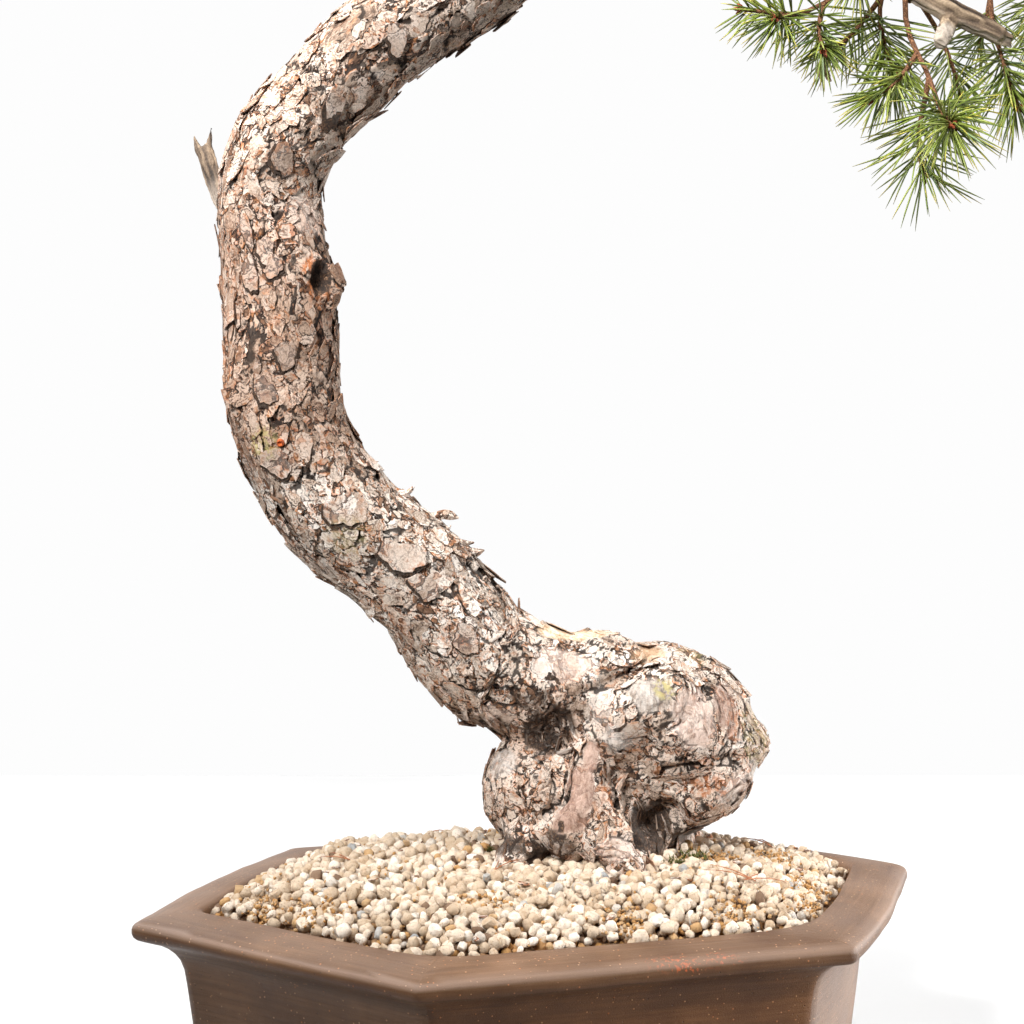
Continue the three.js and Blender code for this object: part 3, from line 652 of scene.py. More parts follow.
def bud_finish():
    f = Finish("resinous_bud", Roughness=0.5)
    scale_edge = f.cells(1.2, "DISTANCE_TO_EDGE", f.strays(0.3, 1))
    fine = f.noise(0.7, 3)
    colour = f.ramp(fine, (0.3, paint(134, 58, 34)), (0.55, paint(190, 92, 54)), (0.75, paint(214, 134, 88)))
    colour = f.mix((1 - f.ease(0.02, 0.14, scale_edge)) * 0.5, colour, paint(96, 44, 30))
    return f.finish(colour, 0.45 + fine * 0.2, f.ease(0.0, 0.2, scale_edge) * 0.35)


def plain_finish(name, dark, light, size, roughness, relief):
    """A mottled finish for the pieces that lie hidden or small."""
    f = Finish(name, Roughness=roughness)
    spots = f.noise(size, 4)
    colour = f.ramp(spots, (0.32, paint(*dark)), (0.68, paint(*light)))
    return f.finish(colour, roughness - 0.1 + spots * 0.2, spots * relief)


deadwood_paint = deadwood_finish()
clay_paint = clay_finish()
pumice_paint = pumice_finish()
needle_paint = needle_finish()
twig_paint = twig_finish()
bud_paint = bud_finish()
soil_paint = plain_finish("potting_soil", (46, 36, 28), (88, 68, 50), 3, 0.95, 0.6)
net_paint = plain_finish("net_plastic", (28, 32, 32), (48, 52, 50), 4, 0.55, 0.1)
# Dust-brown, darkened as painted shade in the gaps between the stones
bed_paint = plain_finish("pumice_dust_and_shade", (96, 70, 48), (168, 132, 94), 2.2, 0.95, 0.6)
moss_paint = plain_finish("moss", (48, 56, 22), (112, 112, 48), 1.6, 0.9, 0.4)
dry_paint = plain_finish("dry_needle", (134, 78, 50), (196, 134, 92), 2, 0.6, 0.1)
scar_paint = plain_finish("broken_shoot", (112, 42, 14), (208, 104, 44), 1.3, 0.85, 0.4)
root_paint = plain_finish("buried_root", (92, 66, 50), (150, 116, 90), 5, 0.9, 0.5)

for node, look in (("soil", soil_paint), ("drain_net_1", net_paint), ("drain_net_2", net_paint)):
    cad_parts[node].data.materials.clear()
    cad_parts[node].data.materials.append(look)

# The pot

POT_TURN, RIM_LENGTH, RIM_WIDTH = math.radians(17.4), 408, 280
RIM = np.array([[2, 0], [1, 1], [-1, 1], [-2, 0], [-1, -1], [1, -1]]) * (RIM_LENGTH / 4, RIM_WIDTH / 2)
SIDES = unit(np.roll(RIM, -1, axis=0) - RIM)
INWARD = np.stack([-SIDES[:, 1], SIDES[:, 0]], 1)
# Each bow of the wall is [bearing of its middle, reach in degrees, push in millimetres]
BOWS = [[155, 30, 6], [-25, 30, 5.5], [25, 28, 3], [205, 30, 1.5], [0, 14, 1.5]]


def turned(points):
    """From the pot's own axes to the tree's."""
    c, s = math.cos(POT_TURN), math.sin(POT_TURN)
    x, y, z = points.T
    return np.stack([x * c - y * s, x * s + y * c, z], 1)


def back_turned(x, y):
    c, s = math.cos(POT_TURN), math.sin(POT_TURN)
    return x * c + y * s, -x * s + y * c


def bow(x, y):
    """How far the hand-built wall bows out at a point's bearing from the middle."""
    bearing = np.degrees(np.arctan2(y, x))
    total = 0
    for middle, reach, push in BOWS:
        off = np.abs((bearing - middle + 180) % 360 - 180)
        total = total + push * np.cos(np.pi / 2 * np.minimum(off / reach, 1))
    return total


def inside_rim(x, y):
    """How far a point lies inside the rim's outline, in the pot's own axes."""
    k = 1 - bow(x, y) / np.maximum(np.hypot(x, y), 60)
    return np.min([(x * k - c[0]) * n[0] + (y * k - c[1]) * n[1] for c, n in zip(RIM, INWARD)], axis=0)


def outline(inset, tip, side, arc=10, straight=20):
    """The rim's outline moved inwards, its corners rounded, with points along its straight sides."""
    corners = []
    for i in range(6):
        before, after = (i + 5) % 6, i
        half = math.acos(SIDES[before] @ SIDES[after]) / 2
        bisector = unit(INWARD[before] + INWARD[after])
        radius = (RIGHT_TIP if i == 0 else 0) + (tip if i % 3 == 0 else side)
        centre = RIM[i] + bisector * (inset + radius) / math.cos(half)
        for step in range(arc + 1):
            angle = half * (2 * step / arc - 1)
            c, s = math.cos(angle), math.sin(angle)
            out = np.array([-bisector[0] * c + bisector[1] * s, -bisector[0] * s - bisector[1] * c])
            corners.append(centre + out * radius)
    points = []
    for n, here in enumerate(corners):
        points.append(here)
        if n % (arc + 1) == arc:
            beyond = corners[(n + 1) % len(corners)]
            points += [here + (beyond - here) * k / straight for k in range(1, straight)]
    points = np.array(points)
    return points * (1 + bow(*points.T) / np.hypot(*points.T))[:, None]


# From the foot over the lip to the floor: [inset from the rim, height, tip radius, side corner radius]
POT_WALL = [
    [30, 0, 8, 10], [28, 20, 8, 10], [26, 40, 8, 10], [23.4, 65, 8, 10], [21, 90, 8, 10], [20, 97, 8, 10],
    [18.4, 102, 8, 10], [16.2, 105.6, 8, 10], [13.2, 108.6, 8, 10], [9.8, 110.8, 8, 9], [6.4, 112, 7, 8],
    [3.6, 112.8, 6, 7], [1.7, 113.4, 5, 6], [0.6, 114.4, 5, 5], [0, 116.2, 5, 5], [0, 118.4, 5, 5],
    [0.4, 119.8, 5, 5], [1, 120.8, 5, 5], [1.9, 121.4, 5, 5], [3.4, 121.9, 6, 6], [8, 123.2, 7, 11],
    [14, 124.5, 9, 26], [20, 125.3, 10, 40], [24.6, 125.4, 10, 46], [26, 125, 10, 46], [26.8, 124, 10, 46],
    [27.4, 122.4, 10, 46], [28, 120, 11, 46],
    [29.5, 117, 12, 46], [33, 103, 14, 44], [35.5, 62, 15, 42], [38, 24, 16, 40], [41, 20, 16, 38],
    [46, 18, 16, 36],
]
# The lip's rows in the table, the bearing where the lip is soft, how often it is smoothed there, and how much
# rounder the right tip is, in millimetres
LIP_ROWS, SOFT_SIDE, SOFT_ROUNDS, RIGHT_TIP = slice(11, 24), 207, 9, 6
# The rim's two sides that the photo shows, by their place in SIDES
FRONT_SIDE, RIGHT_SIDE = 4, 5


def cutter(kind, place, size, turn=0):
    """A box or a cylinder that a boolean takes away, in the pot's own axes, in millimetres."""
    spot = turned(np.array([place], float))[0] * MM
    if kind == "box":
        bpy.ops.mesh.primitive_cube_add(size=1, location=spot)
    else:
        bpy.ops.mesh.primitive_cylinder_add(radius=0.5, depth=1, vertices=48, location=spot)
    made = bpy.context.object
    made.scale = [v * MM for v in size]
    made.rotation_euler = (0, 0, turn + POT_TURN)
    return made


def cut_away(piece, tool):
    """Takes a tool's shape out of a piece. The tool goes."""
    take(piece)
    carve = piece.modifiers.new("carve", "BOOLEAN")
    carve.object = tool
    carve.solver = "EXACT"
    bpy.ops.object.modifier_apply(modifier=carve.name)
    bpy.data.objects.remove(tool)


def prism(inset, low, high):
    """A six-sided block with the pot's outline."""
    shape = outline(inset, 10, 12)
    drop_selection()
    bpy.ops.mesh.primitive_circle_add(vertices=len(shape), radius=1, fill_type="NGON")
    made = bpy.context.object
    flat = np.column_stack([shape, np.full(len(shape), low)])
    move_to(made.data, turned(flat) * MM)
    bpy.ops.object.mode_set(mode="EDIT")
    bpy.ops.mesh.select_all(action="SELECT")
    bpy.ops.mesh.extrude_region_move(TRANSFORM_OT_translate={"value": (0, 0, (high - low) * MM)})
    close_up()
    return made


def make_pot():
    """The wall is drawn up ring by ring from the foot, over the lip and down to the floor inside."""
    outlines = [(outline(inset, tip, side), height) for inset, height, tip, side in POT_WALL]
    rings = np.array([np.column_stack([flat, np.full(len(flat), height)]) for flat, height in outlines])
    soft = rings.copy()
    first, last = LIP_ROWS.start, LIP_ROWS.stop
    for _ in range(SOFT_ROUNDS):
        soft[LIP_ROWS] = (soft[first - 1:last - 1] + 2 * soft[LIP_ROWS] + soft[first + 1:last + 1]) / 4
    bearing = np.degrees(np.arctan2(rings[..., 1], rings[..., 0]))
    rings += (soft - rings) * (1 - eased(18, 31, np.abs((bearing - SOFT_SIDE + 180) % 360 - 180)))[..., None]
    count = len(rings[0])
    drop_selection()
    bpy.ops.mesh.primitive_circle_add(vertices=count, radius=1, fill_type="NGON")
    pot = bpy.context.object
    pot.name = pot.data.name = "stoneware_pot"
    move_to(pot.data, rings[0] * MM)
    bpy.ops.object.mode_set(mode="EDIT")
    bpy.ops.mesh.select_all(action="DESELECT")
    bpy.ops.mesh.select_mode(type="EDGE")
    bpy.ops.mesh.select_all(action="SELECT")
    bpy.ops.mesh.region_to_loop()
    for level in rings[1:]:
        bpy.ops.mesh.extrude_edges_move()
        bpy.ops.object.mode_set(mode="OBJECT")
        p = places(pot.data)
        p[-count:] = level * MM
        move_to(pot.data, p)
        bpy.ops.object.mode_set(mode="EDIT")
    bpy.ops.mesh.edge_face_add()
    close_up()
    p = places(pot.data) / MM
    n = normals(pot.data)
    hand = 0.5 * lumps(p / 46, 3) + 0.22 * lumps(p / 17, 4)
    nose = eased(110, 116, p[:, 2]) * (1 - eased(3, 7, inside_rim(p[:, 0], p[:, 1])))
    hand += nose * 0.25 * lumps(p / 9, 5)
    hand *= eased(4, 20, p[:, 2])
    p = turned(p + n * hand[:, None])
    move_to(pot.data, p * MM)
    # The underside is hollow round its middle pad
    hollow = prism(40, -1, 7)
    cut_away(hollow, cutter("round", (0, 0, 3), (48, 48, 20)))
    cut_away(pot, hollow)
    # A gap under each side leaves a foot at every corner
    for corner, along, inward in zip(RIM, SIDES, INWARD):
        level = abs(inward[0]) < 0.1
        middle = corner + along * 87 + inward * 26
        if level:
            middle[0] = 0
        size = (90 if level else 66, 30, 8)
        cut_away(pot, cutter("box", (*middle, 3), size, math.atan2(along[1], along[0])))
    # Drain holes
    for x in (-70, 70):
        cut_away(pot, cutter("round", (x, 0, 9), (26, 26, 20)))
    take(pot)
    pot.data.materials.clear()
    pot.data.materials.append(clay_paint)
    bpy.ops.object.shade_smooth_by_angle(angle=math.radians(38))
    p = places(pot.data) / MM
    px, py = back_turned(p[:, 0], p[:, 1])
    side = np.argmin([(px - c[0]) * n[0] + (py - c[1]) * n[1] for c, n in zip(RIM, INWARD)], axis=0)
    along = px * SIDES[side, 0] + py * SIDES[side, 1]
    mark(pot.data, "draw", np.stack([inside_rim(px, py), along * 0.05, p[:, 2]], 1))
    scuffs = [((60, -127, 120.5), (17, 7, 4)), ((80, -121, 121), (9, 6, 2.5))]
    covers = [1 - eased(0.5, 1, np.linalg.norm((p - middle) / reach, axis=1)) for middle, reach in scuffs]
    mark(pot.data, "scuff", np.max(covers, axis=0))
    # A thin band at the lip's outer edge is a painted highlight; the lip's top above it is wear
    edge = (1 - eased(0.9, 2.2, np.abs(p[:, 2] - 120.6))) * (inside_rim(px, py) < 4)
    mark(pot.data, "worn", eased(121, 124, p[:, 2]) * 0.8 * (0.5 + 0.5 * lumps(p / 14, 9)) + 1.5 * edge)
    # Painted shade: darkest on the front below the lip, lighter below the lip on the other sides and on the
    # lip's front band, none on the right face; that face gets dust and a painted sheen
    low = 1 - eased(107, 113.5, p[:, 2])
    band = eased(112, 114, p[:, 2]) * (1 - eased(117.5, 119.5, p[:, 2]))
    shaded = np.maximum(low * np.where(side == FRONT_SIDE, 1, 0.25), band * 0.6)
    mark(pot.data, "shaded", np.where(side == RIGHT_SIDE, 0, shaded))
    # Dust and a painted sheen on the right face below the lip
    mark(pot.data, "dusty", low * (side == RIGHT_SIDE))
    seat(pot, "clay", "pot")


make_pot()

# The gravel

# Height at the pot's mouth, rise to the middle and its reach, inset of the mouth, and how far the right sinks
GRAVEL_EDGE, MOUND_RISE, MOUND_REACH, MOUTH, RIGHT_SUNK = 121, 18, 24, 27, 4
# The solid's points over this height are its top, which lies this far under the mound in the scene
BED_TOP, BED_SUNK = 112, 5.5


def mound(x, y):
    """Height of the heaped top layer in millimetres, in the pot's own axes."""
    inside = np.maximum(0, inside_rim(x, y) - MOUTH)
    sunk = RIGHT_SUNK * eased(30, 150, x) * np.exp(-inside / MOUND_REACH)
    return GRAVEL_EDGE - sunk + MOUND_RISE * (1 - np.exp(-inside / MOUND_REACH))


def node_copy(node, name):
    """A separate, welded copy of a solid's mesh, to be worked into a finer piece."""
    piece = bpy.data.objects.new(name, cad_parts[node].data.copy())
    bpy.context.scene.collection.objects.link(piece)
    piece.data.materials.clear()
    edit_all(piece)
    bpy.ops.mesh.remove_doubles(threshold=0.00002)
    close_up()
    return piece


def make_gravel_bed():
    """The solid gravel, sunk under the stones and bowed out with the pot's wall."""
    bed = node_copy("gravel", "gravel_bed")
    p = places(bed.data) / MM
    x, y = back_turned(p[:, 0], p[:, 1])
    top = p[:, 2] > BED_TOP
    p[top, 2] = np.minimum(p[top, 2], mound(x, y)[top] - BED_SUNK)
    wider = bow(x, y) / np.maximum(np.hypot(x, y), 60) * (1 - eased(0, 30, inside_rim(x, y) - MOUTH))
    p[:, :2] *= (1 + wider)[:, None]
    move_to(bed.data, p * MM)
    bed.data.materials.append(bed_paint)
    seat(bed, "gravel", "gravel")


make_gravel_bed()


def stone_blank(seed):
    """One lumpy, angular grain, 1 across."""
    drop_selection()
    bpy.ops.mesh.primitive_cube_add(size=1, enter_editmode=True)
    bpy.ops.mesh.select_all(action="SELECT")
    bpy.ops.mesh.subdivide(number_cuts=1)
    bpy.ops.transform.tosphere(value=0.75)
    bpy.ops.transform.vertex_random(offset=0.17, seed=seed)
    bpy.ops.mesh.vertices_smooth(factor=0.28, repeat=1)
    bpy.ops.mesh.quads_convert_to_tris()
    bpy.ops.object.mode_set(mode="OBJECT")
    points, faces = blank_of(bpy.context.object)
    return points / np.abs(points).max(0) * 0.5, faces


def grit_blank(seed):
    """One small, sharp crumb, 1 across."""
    drop_selection()
    bpy.ops.mesh.primitive_ico_sphere_add(subdivisions=1, radius=0.5, enter_editmode=True)
    bpy.ops.mesh.select_all(action="SELECT")
    bpy.ops.transform.vertex_random(offset=0.12, seed=seed)
    bpy.ops.object.mode_set(mode="OBJECT")
    return blank_of(bpy.context.object)


def any_turns(count):
    """Random turns, as (count, 3, 3)."""
    q = unit(chance.normal(size=(count, 4)))
    w, x, y, z = q.T
    return np.stack([
        np.stack([1 - 2 * (y * y + z * z), 2 * (x * y - z * w), 2 * (x * z + y * w)], 1),
        np.stack([2 * (x * y + z * w), 1 - 2 * (x * x + z * z), 2 * (y * z - x * w)], 1),
        np.stack([2 * (x * z - y * w), 2 * (y * z + x * w), 1 - 2 * (x * x + y * y)], 1),
    ], 1)


def scattered(blanks, spots, sizes):
    """Copies of the blanks in turn, each with its own turn, at spots, with sizes of three numbers."""
    parts = []
    for n, (points, faces) in enumerate(blanks):
        mine = slice(n, None, len(blanks))
        turns = any_turns(len(spots[mine]))
        shaped = points[None] * sizes[mine][:, None]
        placed = np.einsum("nij,npj->npi", turns, shaped) + spots[mine][:, None]
        parts.append((placed, faces, mine))
    return parts


trunk_solid = BVHTree.FromPolygons(
    [v.co.copy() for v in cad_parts["trunk"].data.vertices],
    [tuple(f.vertices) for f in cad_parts["trunk"].data.polygons],
)


def wood_gap(spot):
    """How far a point in millimetres is outside the wood, less than 0 inside it."""
    near, normal, _, far = trunk_solid.find_nearest(Vector(spot) * MM)
    side = (Vector(spot) * MM - near).dot(normal)
    return math.copysign(far / MM, side)


# The rows of a close packing lie nearer than its stones
ROW_SHARE = 0.866


def lattice(pitch, seed):
    """Points over the gravel at about one pitch, pushed about, in the pot's own axes."""
    rng = np.random.default_rng(seed)
    row_pitch = pitch * ROW_SHARE
    j, i = np.mgrid[0:int(RIM_WIDTH / row_pitch) + 1, 0:int(RIM_LENGTH / pitch) + 1]
    x = (i + (j % 2) / 2) * pitch - RIM_LENGTH / 2
    y = j * row_pitch - RIM_WIDTH / 2
    x, y = (v.ravel() + rng.uniform(-0.34, 0.34, v.size) * pitch for v in (x, y))
    return x, y


CRUMB_PATCHES = [
    [85, 4], [87, -76], [132, -16], [130, -44], [121, 19], [-132, -62], [-108, -76], [36, -92], [-30, -84],
    [0, 96], [-150, -20],
]


def stone_tones(count, rng):
    """Mostly cream; a few brown, ochre, white and blue-grey."""
    kind = rng.random(count)
    tone = 0.3 + 0.56 * rng.random(count)
    tone = np.where(kind < 0.02, 0.03 * rng.random(count), tone)
    tone = np.where((kind > 0.02) & (kind < 0.045), 0.07 + 0.05 * rng.random(count), tone)
    return np.where(kind > 0.94, 0.86 + 0.14 * rng.random(count), tone)


def grains(name, blanks, spots, sizes, tones, crease=180):
    """One piece of grains, each with a tone of its own."""
    parts = []
    for placed, faces, mine in scattered(blanks, spots * MM, sizes * MM):
        p, f = copied(placed, faces)
        parts.append((p, f, pumice_paint, {"tone": np.repeat(tones[mine], placed.shape[1])}))
    return gathered(name, parts, crease)


def make_stones():
    """Three layers: small crumbs in the gaps, the closed layer, and the stones that lie on it."""
    blanks = [stone_blank(seed) for seed in range(1, 17)]
    small = [grit_blank(seed) for seed in range(1, 5)]
    rng = np.random.default_rng(5)
    # Each row is (name, blanks, pitch, rise over the mound, inset from the mouth, share kept, size)
    layers = [
        ("gravel_lower", small, 4.9, -4.6, 3.4, 1.0, 5.2),
        ("gravel_main", blanks, 5.3, -1.0, 4.2, 1.0, 5.7),
        ("gravel_upper", blanks, 6.5, 1.4, 5.0, 0.5, 6.0),
    ]
    for name, shapes, pitch, rise, inset, share, across in layers:
        x, y = lattice(pitch, len(name))
        keep = (inside_rim(x, y) > MOUTH + inset) & (rng.random(len(x)) < share)
        if name == "gravel_upper":
            bare = np.array([back_turned(*c) for c in CRUMB_PATCHES])
            keep &= np.hypot(x[:, None] - bare[:, 0], y[:, None] - bare[:, 1]).min(1) > 9
        x, y = x[keep], y[keep]
        z = mound(x, y) + rise + rng.uniform(-1.1, 1.1, len(x))
        spots = turned(np.column_stack([x, y, z]))
        clear = np.array([wood_gap(s) > (0.2 if name != "gravel_lower" else -3) for s in spots])
        spots = spots[clear]
        sizes = across * np.exp(rng.normal(0, 0.14, (len(spots), 1))) * rng.uniform(0.6, 1.2, (len(spots), 3))
        # The lower layer's stones are dark brown and ochre, partly dust and partly painted shade in the gaps
        tones = stone_tones(len(spots), rng) if shapes is blanks else rng.uniform(0.0, 0.07, len(spots))
        seat(grains(name, shapes, spots, sizes, tones, 62), "gravel", "gravel")


make_stones()


def make_grit():
    """Ochre crumbs that have gathered in patches between the stones."""
    rng = np.random.default_rng(15)
    patched = [np.array(c) + rng.normal(0, 6.5, (110, 2)) for c in CRUMB_PATCHES]
    spots = np.concatenate([*patched, rng.uniform(-200, 200, (1400, 2))])
    x, y = back_turned(*spots.T)
    keep = inside_rim(x, y) > MOUTH + 3
    x, y = x[keep], y[keep]
    z = mound(x, y) + rng.uniform(-0.4, 2.9, len(x))
    spots = turned(np.column_stack([x, y, z]))
    spots = spots[[wood_gap(s) > 0 for s in spots]]
    sizes = rng.uniform(0.9, 2.5, (len(spots), 1)) * rng.uniform(0.7, 1.1, (len(spots), 3))
    tones = rng.uniform(0.05, 0.11, len(spots))
    seat(grains("gravel_crumbs", [grit_blank(9), grit_blank(10)], spots, sizes, tones), "gravel")


make_grit()

# The wood's lines, from the solids: [x, y, z, radius] in millimetres

TRUNK = [
    [38, 31, 212, 23], [5, 27, 219, 31], [-32, 24, 238, 31], [-52, 18, 266, 29], [-72, 14, 287, 29],
    [-100, 8, 309, 30], [-118, 4, 334, 28], [-127, 0, 360, 28], [-130, -2, 385, 29], [-130, -4, 413, 27],
    [-132, -4, 438, 28], [-136, -4, 464, 25], [-133, -4, 485, 24], [-122, -4, 503, 24], [-106, -2, 522, 23],
    [-88, 0, 541, 24], [-65, 2, 558, 24], [-39, 4, 573, 23], [-11, 6, 592, 22], [19, 10, 616, 20],
    [49, 14, 645, 19], [73, 16, 677, 16], [81, 12, 713, 13], [75, 4, 746, 10], [61, -6, 773, 6],
    [51, -10, 796, 3],
]
BRANCHES = {
    "cascade": [
        [49, 14, 645, 12], [88, 8, 652, 11], [127, -2, 634, 10], [158, -8, 604, 8.5], [174, -11, 580, 7],
        [182, -12, 566, 6],
    ],
    "outer": [
        [124, -2, 636, 7], [170, 6, 638, 6], [212, 10, 620, 4.5], [246, 8, 592, 3.5], [260, 6, 568, 2.5],
    ],
    "right": [[80, 12, 700, 8], [115, 6, 716, 6], [152, -2, 714, 4.5], [184, -8, 702, 3]],
    "left": [[72, 16, 674, 8], [44, 6, 694, 6], [8, -4, 704, 4.5], [-24, -10, 702, 3]],
    "back": [[73, 16, 684, 7], [84, 50, 696, 5.5], [94, 84, 692, 3.5]],
    "front": [[62, 16, 660, 7], [48, -16, 672, 5], [38, -44, 668, 3]],
}


# Far enough in millimetres for each limb to have bark of its own
LIMB_SPACING = 700


class Limbs:
    """All the wood's lines as close samples, to tell where along which limb a point is."""

    def __init__(self, lines):
        rows = []
        for number, stations in enumerate(lines):
            line = Line(stations)
            share = np.linspace(0, 1, int(line.length / 2) + 2)
            ahead = line.ahead(share)
            joints = [line.share[min(40 * k, len(line.share) - 1)] for k in range(len(stations))]
            radius = np.interp(share, joints, [s[3] for s in stations])
            side = np.array([0.0, 1.0, 0.0])
            sides = []
            for a in ahead:
                side = unit(side - a * (side @ a))
                sides.append(side)
            sides = np.array(sides)
            walk = share * line.length + LIMB_SPACING * number
            rows.append((line.at(share), ahead, sides, np.cross(ahead, sides), radius, walk))
        self.middle, self.ahead, self.side, self.across, self.radius, self.walk = (
            np.concatenate(column) for column in zip(*rows)
        )

    def of(self, p):
        """For each point: its nearest sample, and its place in the straightened limb."""
        nearest = np.empty(len(p), int)
        for start in range(0, len(p), 8000):
            chunk = p[start:start + 8000]
            far = np.sqrt(((chunk[:, None] - self.middle[None]) ** 2).sum(2)) - self.radius
            nearest[start:start + 8000] = far.argmin(1)
        off = p - self.middle[nearest]
        along = (off * self.ahead[nearest]).sum(1)
        straight = np.stack([
            (off * self.side[nearest]).sum(1),
            (off * self.across[nearest]).sum(1),
            self.walk[nearest] + along,
        ], 1)
        return nearest, straight


limbs = Limbs([TRUNK, *BRANCHES.values()])

# Places on the wood with a look of their own: middle and reach in millimetres, the mark and how strong it is
# The dark places are painted shade in hollows, cracks, the knot hole and low recesses
MARKS = [
    ((18, 22, 251), (26, 13, 4.6), "wood", 1.0), ((51, 18, 240), (15, 14, 5.2), "tan", 1.0),
    ((53, -11, 224), (12, 9, 10), "ash", 1.0), ((60, -10, 226), (6, 7, 6), "lichen", 1.0),
    ((38, -12, 202), (9, 8, 8.5), "ash", 0.8), ((76, -9, 211), (13, 10, 16), "pink", 1.0),
    ((28, -4, 214), (10, 9, 8), "ash", 0.6), ((10, 2, 236), (18, 12, 9), "pink", 0.7),
    ((91, 5, 212), (7, 12, 17), "skin", 0.9), ((95, 4, 206), (4, 10, 15), "rust", 0.6),
    ((108, 12, 200), (9, 16, 18), "lichen", 0.4), ((76, 20, 238), (10, 12, 6), "lichen", 0.3),
    ((82, -6, 176), (15, 9, 6), "rust", 0.8), ((100, 0, 178), (9, 9, 6), "pink", 0.6),
    ((107, 8, 183), (8, 8, 6), "ash", 0.7), ((94, -6, 171), (8, 8, 6), "ash", 0.7),
    ((3, 6, 205), (15, 17, 16), "dark", 1.0), ((-6, 0, 220), (12, 10, 7), "dark", 0.6),
    ((-30, 12, 205), (22, 16, 7), "dark", 0.5), ((-22, 6, 212), (12, 10, 6), "pink", 0.5),
    ((19, -14, 176), (8.5, 9, 15), "skin", 1.0), ((12, -17, 163), (12, 8, 9), "skin", 1.0),
    ((24, -8, 191), (4.5, 8, 9), "skin", 1.0), ((31, -12, 171), (5, 8, 12), "rust", 0.55),
    ((9, -17, 158.5), (1.7, 8, 3.0), "dark", 1.1),
    ((-21, 5, 187), (9, 10, 9), "ash", 0.9), ((-24, 3, 187), (2.2, 6, 2.4), "rust", 1.0),
    ((55, -1, 155), (15, 18, 16), "dark", 1.0), ((62, -12, 143), (12, 12, 8), "dark", 0.9),
    ((78, 12, 147), (18, 18, 9), "dark", 0.8), ((-8, -3, 146), (20, 16, 8), "dark", 0.8),
    ((8, -12, 150), (12, 12, 8), "dark", 0.6), ((37, -27, 149), (13, 10, 6), "pink", 0.6),
    ((-109, -24, 428), (5.4, 12, 9), "dark", 1.3), ((-114, -24, 428), (4, 9, 11), "rust", 1.1),
    ((-109, -24, 418), (6, 9, 4), "rust", 0.7),
    ((-131, -25, 342), (3.2, 6, 3.2), "rust", 1.2), ((-135, -24, 348), (9, 9, 9), "lichen", 0.9),
    ((-62, -13, 287), (8, 8, 2.4), "rust", 0.9),
    ((-96, -24, 300), (14, 10, 12), "lichen", 0.35), ((-112, -22, 458), (14, 9, 12), "pink", 0.5),
    ((-96, -26, 366), (10, 12, 16), "dark", 0.25), ((-124, -12, 300), (10, 20, 10), "dark", 0.4),
]
TINTS = {"skin": 1.0, "tan": 1.0, "wood": 1.0, "ash": 0.75, "pink": 0.6}


def marks_at(p):
    """The strength of each mark at points in millimetres, and how smooth the wood is there."""
    found = {name: np.zeros(len(p)) for name in (*TINTS, "rust", "dark", "lichen")}
    wobble = 0.22 * rough(p / 7, 60, 2)
    for middle, reach, name, strength in MARKS:
        far = np.linalg.norm((p - middle) / np.array(reach), axis=1) + wobble
        found[name] = np.maximum(found[name], strength * (1 - eased(0.78, 1.06, far)))
    young = eased(600, 700, p[:, 2]) * 0.7
    found["rust"] = np.maximum(found["rust"], young * (0.6 + 0.4 * lumps(p / 12, 61)))
    up_high = eased(322, 352, p[:, 2]) * (1 - 0.5 * eased(440, 480, p[:, 2]))
    found["tawny"] = up_high + 0.4 * (1 - eased(205, 240, p[:, 2]))
    found["smooth"] = np.max([share * found[name] for name, share in TINTS.items()], axis=0)
    return found


# Orange inner bark that shows as a strip round the front root, on a ridge
ROOT_STRIP = [(24, -21, 144), (29, -27, 147), (34, -29, 148), (42, -30, 146), (48, -31, 141), (54, -40, 137)]
